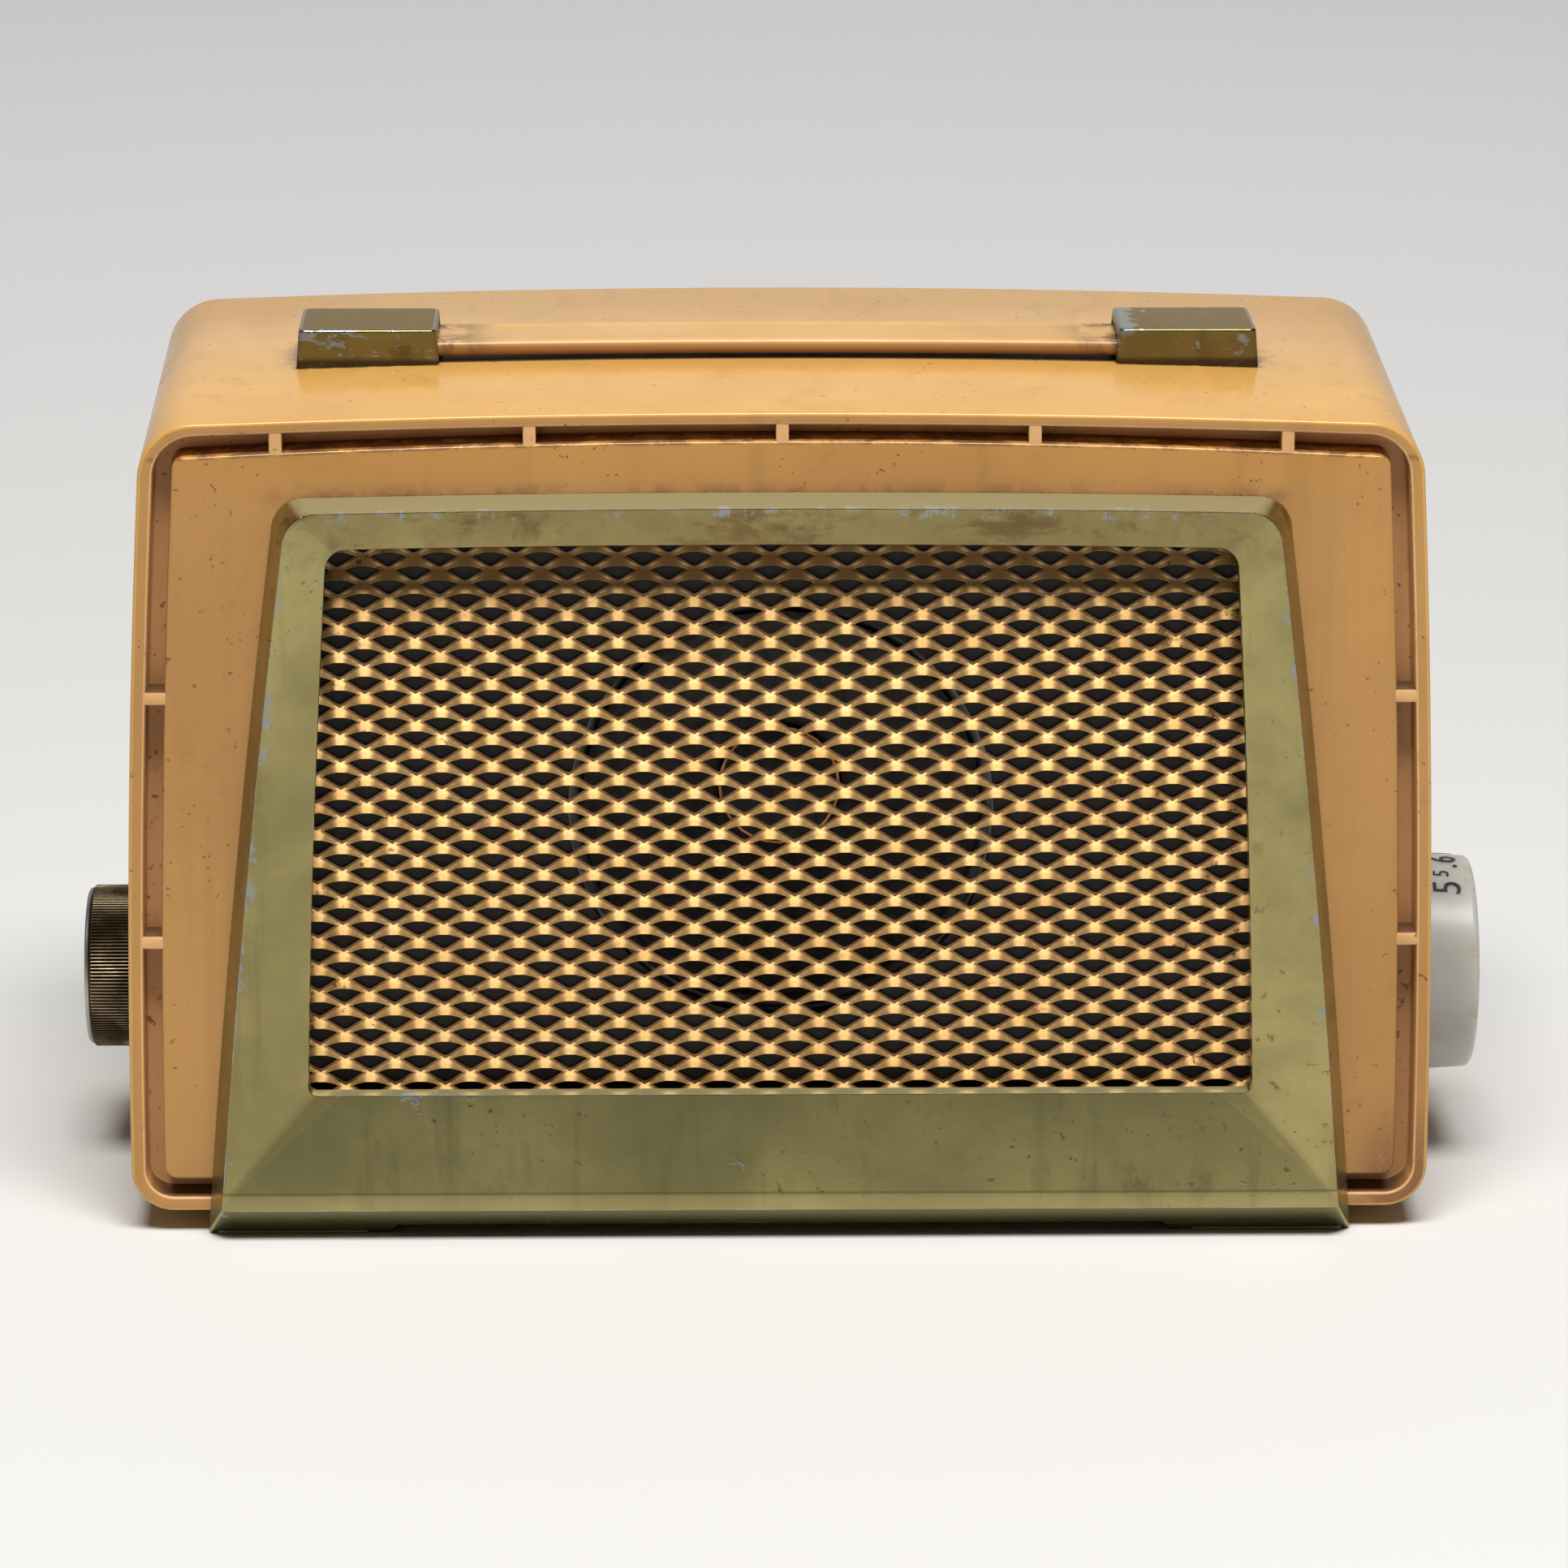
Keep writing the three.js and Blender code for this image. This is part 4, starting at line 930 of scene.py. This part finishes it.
def trim_to_opening(piece, margin):
    """Cuts a flat pattern to the opening's convex outline, one straight cut per few points of it."""
    loop = opening_outline(margin)
    work = bmesh.new()
    work.from_mesh(piece.data)
    bmesh.ops.remove_doubles(work, verts=work.verts, dist=0.00002)
    picks = [loop[i] for i in range(0, len(loop), 5)]
    for (x0, z0), (x1, z1) in zip(picks, picks[1:] + picks[:1]):
        outward = Vector((z1 - z0, 0, x0 - x1))
        if outward.length < 0.2:
            continue
        parts = work.verts[:] + work.edges[:] + work.faces[:]
        cut = {"plane_co": place(x0, 0, z0), "plane_no": outward.normalized(), "clear_outer": True}
        bmesh.ops.bisect_plane(work, geom=parts, dist=1e-7, **cut)
    bmesh.ops.recalc_face_normals(work, faces=work.faces)
    work.to_mesh(piece.data)
    work.free()


# --------------------
# Handle
# --------------------
def rounded_rectangle(u0, u1, v0, v1, radius, steps=5):
    """Points round a rectangle with round corners, anticlockwise from its lower right side."""
    corners = [(u1 - radius, v0 + radius, -90), (u1 - radius, v1 - radius, 0)]
    corners += [(u0 + radius, v1 - radius, 90), (u0 + radius, v0 + radius, 180)]
    points = []
    for u, v, start in corners:
        for i in range(steps + 1):
            angle = math.radians(start + 90 * i / steps)
            points.append((u + radius * math.cos(angle), v + radius * math.sin(angle)))
    return points


def strap_section():
    """The strap's cross-section: soft corners, and a shallow channel between two raised borders on top."""
    front, back, low, high = STRAP.front, STRAP.back, STRAP.bottom, STRAP.top
    points = rounded_rectangle(front, back, low, high, 1.25, 6)
    top = []
    for i in range(1, 16):
        y = back - 1.25 - (back - front - 2.5) * i / 16
        from_edge = min(y - front, back - y)
        dip = 0.3 * min(1, max(0, (from_edge - 2.0) / 1.2))
        top.append((y, high - dip))
    corner = 14
    return points[:corner] + top + points[corner:]


def make_strap(material):
    section = strap_section()
    for word, side, body in (("left", -1, "strap_left"), ("right", 1, "strap_right")):
        stations = [0.0] + [STRAP.grip + 2.0 * i for i in range(42)] + [STRAP.end]
        loops = []
        for x in stations:
            sag = 0.7 * min(x, STRAP.mouth) ** 2 / CABINET.top_bow
            loops.append([(side * x, y, z - sag) for y, z in section])
        strap = new_piece(f"strap_{word}_half", *skin(loops, False), [material])
        ends = (SCREW.x - SLOT.half, SCREW.x + SLOT.travel + SLOT.half)
        slot = rounded_rectangle(*ends, SCREW.y - SLOT.half, SCREW.y + SLOT.half, 3.0)
        through = [[(side * x, y, z) for x, y in slot] for z in (STRAP.bottom - 1, STRAP.top + 1)]
        combine(strap, [new_piece("slot", *skin(through, False), [])], "DIFFERENCE")
        nodes = [f"strap_flex_{word}", f"strap_end_{word}"]
        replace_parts(strap, *(nodes + ["strap_grip"] if side > 0 else nodes))
        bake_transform(strap)


def make_cap(word, side, materials):
    """A hollow cast cap: walls that flare a little towards the cabinet, a round-edged roof, a mouth."""
    inner, outer, front, back = CAP.inner, CAP.outer, CAP.front, CAP.back

    def level(share, inset, radius):
        """A loop round the cap, share 0 on the cabinet's top and 1 at the roof."""
        grow = 0.6 * (1 - share)
        ends = (inner - grow + inset, outer + grow - inset, front - grow + inset, back + grow - inset)
        loop = []
        for x, y in rounded_rectangle(*ends, radius):
            low = CABINET.top - x**2 / CABINET.top_bow + CABINET.top_draft * y / CABINET.depth
            low += 0.05
            loop.append((side * x, y, low + (CAP.top - low) * share))
        return loop

    loops = [level(0, 0, 1.3), level(0.5, 0, 1.3)]
    roof = 0.75
    for fall, inset in quarter(roof, 5):
        loops.append(level(1 - fall / 10, inset, 1.3 - 0.2 * inset / roof))
    strips = 2 * len(loops[0]) * [0] + 5 * len(loops[0]) * [1] + [0, 0]
    cap = new_piece(f"cap_{word}", *skin(loops, False), list(materials), strips)
    wall = CAP.wall
    ends = sorted((side * (inner - 3), side * (outer - wall)))
    hollow = block(*ends, front + wall, back - wall, 170, 183.9)
    combine(cap, [hollow], "DIFFERENCE")
    profile = [(1.5, 177.2), (2.6, 177.2), (2.6, 184.5), (1.5, 184.5)]
    post = turned("post", "z", profile, (side * SCREW.x, SCREW.y), 24, [], True)
    combine(cap, [post], "UNION")
    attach(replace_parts(cap, f"handle_cap_{word}"), "cabinet")


# --------------------
# Side controls
# --------------------
def knob_wave(radius, along, angle):
    """Fine ribs on the knob's rim, fading out before its bright outer ring."""
    on_rim = radius > KNOB.radius - 0.6
    fade = min(1, max(0, (KNOB.face - 1.2 - abs(along)) / 0.3))
    return radius - (0.5 * (0.5 - 0.5 * math.cos(KNOB.ribs * angle)) ** 1.5 * fade if on_rim else 0)


def make_knob(material):
    radius, inner, face = KNOB.radius, KNOB.inner, KNOB.face
    profile = [
        (0, face - 1.4), (6, face - 1.35), (11, face - 1.1), (14.2, face - 0.7), (15.2, face - 0.2),
        (15.8, face), (16.6, face - 0.05), (17.05, face - 0.4), (17.15, face - 0.9), (17.35, face - 1.15),
        (radius, face - 1.5), (radius, face - 5), (radius, inner + 1.2), (radius, inner + 0.9),
        (radius - 0.3, inner + 0.2), (radius - 0.9, inner), (radius - 2.3, inner),
        (radius - 2.5, inner + 0.3), (radius - 2.6, face - 3.8), (6.2, face - 3.4), (6, face - 3.6),
        (6, inner + 1.8), (5.7, inner + 1.5), (SHAFT + 0.3, inner + 1.5), (SHAFT + 0.3, face - 3.1),
        (0, face - 3.1),
    ]
    profile = [(r, -x) for r, x in profile]
    knob = turned("volume_cup", "x", profile, AXIS, KNOB.ribs * 6, [material], wave=knob_wave)
    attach(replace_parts(knob, "volume_knob"), "volume")


def make_dial(material, ink):
    radius, outer, inner, face = DIAL.radius, DIAL.outer, DIAL.inner, DIAL.face
    profile = [(0, face - 0.1), (10, face), (18, face - 0.1)]
    profile += [(outer - in_by, face - 0.15 - down) for in_by, down in quarter(1.4, 7)]
    profile += [
        (radius - 0.15, inner + 1.5), (radius, inner + 0.5), (radius - 0.3, inner + 0.1),
        (radius - 0.8, inner), (radius - 1.8, inner), (radius - 2, inner + 0.3),
        (outer - 2.1, face - 4.2), (outer - 3.2, face - 3.2), (6.3, face - 2.7), (6, face - 3),
        (6, inner + 1.8), (5.7, inner + 1.5), (SHAFT + 0.3, inner + 1.5), (SHAFT + 0.3, face - 2.6),
        (0, face - 2.6),
    ]
    dial = turned("tuning_drum", "x", profile, AXIS, 128, [material])
    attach(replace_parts(dial, "tuning_dial"), "tuning")

    tall, small = 6.2, 3.5
    marks = [("5", tall, 60), ("5", small, 71), (".", tall, 79), ("6", tall, 88), ("7", tall, 107)]
    marks += [("8", tall, 124), ("10", tall, 146), ("12", tall, 171), ("14", tall, 196), ("16", tall, 221)]
    signs = [dial_mark(text, height, angle, ink) for text, height, angle in marks]
    numerals = join("dial_numerals", signs)
    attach(numerals, "tuning")


def dial_mark(text, height, angle, ink):
    """A numeral wrapped on the drum: it reads upwards at the front, with its top towards the cabinet."""
    curve = bpy.data.curves.new("mark", "FONT")
    curve.body = text
    curve.size = height / 0.7
    curve.extrude = 0.05
    curve.align_x = "CENTER"
    curve.resolution_u = 6
    flat = link("mark", curve)
    bpy.context.view_layer.update()
    mesh = bpy.data.meshes.new_from_object(flat.evaluated_get(bpy.context.evaluated_depsgraph_get()))
    bpy.data.objects.remove(flat)
    baseline = 149.4 if height > 5 else 147.2
    turn = math.radians(angle)
    for vertex in mesh.vertices:
        x = baseline - vertex.co.y
        share = (x - DIAL.inner) / (DIAL.face - DIAL.inner)
        radius = DIAL.radius + (DIAL.outer - DIAL.radius) * share + 0.1 + vertex.co.z
        around = turn + vertex.co.x / DIAL.radius
        y = AXIS[0] - radius * math.cos(around)
        vertex.co = place(x, y, AXIS[1] + radius * math.sin(around))
    mesh.materials.append(ink)
    return link("mark", mesh)


# --------------------
# Rear and underside
# --------------------
def box_of(node):
    """A CAD node's box in millimetres of the drawing's frame: its low corner and its high corner."""
    low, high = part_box(node)
    return (low - ORIGIN) / MM, (high - ORIGIN) / MM


def make_back(material):
    depth = CABINET.depth - 2
    levels = [(BACK.inset, BACK.front), (BACK.inset, BACK.front + BACK.thick - 0.4)]
    levels.append((BACK.inset + 0.4, BACK.front + BACK.thick))
    loops = [at(cabinet_outline(depth, inset=inset), y) for inset, y in levels]
    board = new_piece("back_board", *skin(loops, False), [material])
    through = (BACK.front - 1, BACK.front + BACK.thick + 1)
    cuts = []
    for first, last, low, high in VENT_ROWS:
        for k in range((last - first) // VENT.pitch + 1):
            x = first + k * VENT.pitch
            slot = rounded_rectangle(x - VENT.half, x + VENT.half, low, high, VENT.half - 0.05, 6)
            cuts.append(prism(slot, *through))
    for x, z in BACK_SCREWS:
        cuts.append(rod("y", 1.8, *through, (x, z), 24))
    half_x, half_z = INLET.half_x + 0.6, INLET.half_z + 0.6
    x, z = INLET.x, INLET.z
    hole = rounded_rectangle(x - half_x, x + half_x, z - half_z, z + half_z, 1.5)
    cuts.append(prism(hole, *through))
    combine(board, [join("cuts", cuts)], "DIFFERENCE")
    round_edges(board, 0.25, 1)
    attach(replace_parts(board, "back_cover"), "cabinet")


def make_back_screw(number, x, z, material):
    """A pan-head screw with a straight slot."""
    seat = BACK.front + BACK.thick + 0.3
    profile = [(0, seat + 1.35), (1.6, seat + 1.28), (2.7, seat + 1.0), (3.25, seat + 0.55)]
    profile += [(3.4, seat + 0.1), (3.3, seat), (1.5, seat), (1.5, seat - 13), (0, seat - 14)]
    piece = turned(f"rear_screw_{number}", "y", profile, (x, z), 32, [material])
    lean = 0.5 + 0.8 * number
    half, wide = 3.8, 0.4
    corners = [(-half, -wide), (half, -wide), (half, wide), (-half, wide)]
    across, along = math.cos(lean), math.sin(lean)
    spin = [(x + u * across - v * along, z + u * along + v * across) for u, v in corners]
    combine(piece, [prism(spin, seat + 0.65, seat + 2)], "DIFFERENCE")
    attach(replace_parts(piece, f"back_screw_{number}"), "cabinet")


def make_rear_foot(word, side, material):
    profile = [(0, 0.8), (2, 0.8), (2.5, 0.1), (3, 0), (5.6, 0)]
    profile += [(6.4, 0.35), (6.9, 1.1), (7, 2), (6.9, 4.6), (0, 4.6)]
    centre = (side * REAR_FOOT.x, REAR_FOOT.y)
    piece = turned(f"foot_{word}", "z", profile, centre, 40, [material])
    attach(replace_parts(piece, f"rear_foot_{word}"), "cabinet")


def make_inlet(body_material, pin_material):
    """The mains inlet: a moulded cup with two round pins."""
    low, high = box_of("power_inlet")
    cup = rounded_rectangle(low.x, high.x, low.z, high.z, 1.2)
    rim = rounded_rectangle(low.x + 0.4, high.x - 0.4, low.z + 0.4, high.z - 0.4, 1)
    inside = rounded_rectangle(low.x + 2.5, high.x - 2.5, low.z + 2.5, high.z - 2.5, 0.8)
    loops = [at(cup, low.y), at(cup, high.y - 0.4), at(rim, high.y)]
    loops += [at(inside, high.y), at(inside, low.y + 3)]
    body = new_piece("inlet_cup", *skin(loops, False), [body_material])
    pins = [body]
    for side in (-6, 6):
        tip = high.y - 1
        profile = [(0, low.y + 2), (1.6, low.y + 2), (1.6, tip - 1), (1.2, tip - 0.3), (0.6, tip), (0, tip)]
        pins.append(turned("pin", "y", profile, (INLET.x + side, INLET.z), 24, [pin_material]))
    piece = join("inlet_socket", pins)
    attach(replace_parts(piece, "power_inlet"), "cabinet")


def make_tube(node, glass, metal, getter):
    """A miniature valve: a glass bulb with its tip, plates between mica discs, and a silvered top."""
    low, high = box_of(node)
    centre = ((low.x + high.x) / 2, (low.y + high.y) / 2)
    radius, base, top = (high.x - low.x) / 2, low.z, high.z
    dome = top - 0.62 * radius
    outer = [(0, base), (radius * 0.8, base), (radius * 0.97, base + 1.2), (radius, base + 3)]
    outer.append((radius, dome - 3))
    for turn in arc(6)[1:]:
        height = dome - 3 + (top - dome) * math.sin(turn)
        outer.append((radius * math.cos(turn) + 1.2 * math.sin(turn), height))
    outer += [(1.0, top - 1.6), (0.5, top - 0.4), (0, top)]
    bulb = turned("bulb", "z", outer, centre, 40, [glass])
    cap = [(0, top - 3.9), (radius * 0.45, top - 4.2), (radius * 0.74, top - 6), (radius * 0.83, dome - 4)]
    cap += [(radius * 0.8, dome - 4.2), (radius * 0.7, top - 6.3), (0, top - 4.3)]
    inner = [turned("silvered", "z", cap, centre, 40, [getter])]
    plate_low, plate_high = base + 8, dome - 7
    plate = rounded_rectangle(centre[0] - 4.6, centre[0] + 4.6, centre[1] - 3, centre[1] + 3, 1.4)
    loops = [[(x, y, z) for x, y in plate] for z in (plate_low, plate_high)]
    inner.append(new_piece("plate", *skin(loops, False), [metal]))
    for z in (plate_low - 0.8, plate_high + 0.4):
        inner.append(rod("z", radius - 1.2, z, z + 0.4, centre, 32, getter))
    for k in range(7):
        angle = 2 * math.pi * (k + 0.5) / 8
        spot = (centre[0] + 4.4 * math.cos(angle), centre[1] + 4.4 * math.sin(angle))
        inner.append(rod("z", 0.45, base + 0.5, plate_low - 0.9, spot, 10, metal))
    piece = join(f"valve_{node}", [bulb] + inner)
    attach(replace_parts(piece, node), "cabinet")


# --------------------
# Assembly
# --------------------
def make_floor():
    """A paper sweep: flat under and behind the object, then curving up."""
    half, flat, bend = 9.0, 2.3, 0.7
    profile = [(-half, 0.0)]
    for angle in arc(16):
        profile.append((flat + bend * math.sin(angle), bend * (1 - math.cos(angle))))
    profile.append((flat + bend, 3.0))
    points = [(x, y, z) for y, z in profile for x in (-half, half)]
    faces = [(2 * i, 2 * i + 1, 2 * i + 3, 2 * i + 2) for i in range(len(profile) - 1)]
    mesh = bpy.data.meshes.new("floor")
    mesh.from_pydata(points, [], faces)
    mesh.shade_smooth()
    mesh.materials.append(floor_material())
    link("floor", mesh)


make_camera()
make_studio()
make_floor()

HONEY, AMBER = (0.68, 0.38, 0.1), (0.6, 0.32, 0.076)
make_shell(
    bakelite("bakelite_outside", HONEY, AMBER, 0.02, dirt=top_dirt_and_shadow),
    # The groove's resin is lighter than the outside's: painted light that lifts the deep groove.
    bakelite("bakelite_groove", (0.82, 0.47, 0.2), (0.66, 0.36, 0.14), grime=0.8, ledges=0.92),
    # The panel's resin is darker than the outside's: painted shade for the front faces, which the light
    # reaches less.
    bakelite("bakelite_panel", (0.525, 0.265, 0.068), (0.45, 0.22, 0.054), 0.06, dirt=front_dirt),
)
OLIVE, STRAW = (0.28, 0.24, 0.1), (0.43, 0.365, 0.15)
make_bezel(
    lacquer("bezel_lacquer", OLIVE, STRAW, 0, marks=bezel_wear),
    lacquer("bezel_edge", OLIVE, STRAW, 0.12, smooth=0.16, marks=bezel_wear),
)
# The second finish is the painted shadow on each strand's upper edge.
make_grille(gold_mesh("gold_mesh"), gold_mesh("gold_mesh_edge", 0.12))
make_strap(strap_plastic())
DARK_OLIVE, OCHRE = (0.17, 0.12, 0.03), (0.25, 0.18, 0.05)
# Each cap finish has its own top tone, painted light on the faces that look up; it is pale on the edge
# strips.
cap_paints = (
    lacquer(
        "cap_lacquer", DARK_OLIVE, OCHRE, 0.05, metal=0.5, smooth=0.36,
        top=(0.17, 0.11, 0.025), top_metal=0.35, marks=cap_wear,
    ),
    lacquer(
        "cap_edge", DARK_OLIVE, OCHRE, 0.11, metal=0.9, smooth=0.17,
        top=(0.36, 0.33, 0.24), top_metal=0.9, marks=cap_wear,
    ),
)
SIDES = (("left", -1), ("right", 1))
for word, side in SIDES:
    make_cap(word, side, cap_paints)
make_knob(knob_brass())
make_dial(dial_plastic(), plain_material("dial_ink", (0.015, 0.014, 0.013), (0.03, 0.028, 0.025), 0.4))

STEEL = {"Metallic": 0.9}
GLASS = {"Transmission_Weight": 1.0, "IOR": 1.05}
# For each material slot: light tone, dark tone, roughness, grain, relief and further shader inputs.
FINISHES = {
    "black_board": ((0.02, 0.017, 0.014), (0.035, 0.03, 0.025), 0.85, 300, 0.15, {}),
    "plated_steel": ((0.62, 0.62, 0.6), (0.4, 0.39, 0.36), 0.28, 150, 0.15, STEEL),
    "chassis_steel": ((0.42, 0.43, 0.42), (0.3, 0.3, 0.29), 0.42, 60, 0.15, STEEL),
    "magnet_steel": ((0.2, 0.2, 0.2), (0.12, 0.11, 0.1), 0.5, 80, 0.15, STEEL),
    "cone_paper": ((0.05, 0.043, 0.035), (0.03, 0.026, 0.022), 0.85, 400, 0.4, {}),
    "spider_cloth": ((0.3, 0.2, 0.1), (0.2, 0.13, 0.06), 0.8, 500, 0.5, {}),
    "copper_wire": ((0.7, 0.3, 0.13), (0.5, 0.2, 0.08), 0.3, 200, 0.15, STEEL),
    "foot_rubber": ((0.03, 0.028, 0.026), (0.05, 0.045, 0.04), 0.75, 200, 0.15, {}),
    "plate_aluminium": ((0.75, 0.76, 0.77), (0.6, 0.6, 0.6), 0.3, 90, 0.15, STEEL),
    "socket_phenolic": ((0.09, 0.045, 0.022), (0.05, 0.025, 0.014), 0.4, 90, 0.15, {}),
    "tube_glass": ((0.95, 0.97, 0.97), (0.88, 0.91, 0.92), 0.02, 40, 0.02, GLASS),
    "core_steel": ((0.2, 0.19, 0.18), (0.12, 0.1, 0.09), 0.5, 100, 0.15, STEEL),
    "back_board": ((0.155, 0.09, 0.05), (0.12, 0.07, 0.038), 0.7, 700, 0.35, {}),
}
finishes = {slot: plain_material(slot, *row, **more) for slot, (*row, more) in FINISHES.items()}
make_back(finishes["back_board"])
for number, (x, z) in enumerate(BACK_SCREWS, 1):
    make_back_screw(number, x, z, finishes["plated_steel"])
for word, side in SIDES:
    make_rear_foot(word, side, finishes["foot_rubber"])
make_inlet(finishes["socket_phenolic"], finishes["plated_steel"])
for name in frame["nodes"]:
    if name.startswith("tube_") and not name.startswith("tube_socket"):
        make_tube(name, finishes["tube_glass"], finishes["magnet_steel"], finishes["plated_steel"])

node_slots = {part["node"]: part["material_slot"] for part in frame["record"]["subparts"]}
for name, node in frame["nodes"].items():
    if node_slots[name] in finishes and not node.hide_render:
        node.data.materials.clear()
        node.data.materials.append(finishes[node_slots[name]])
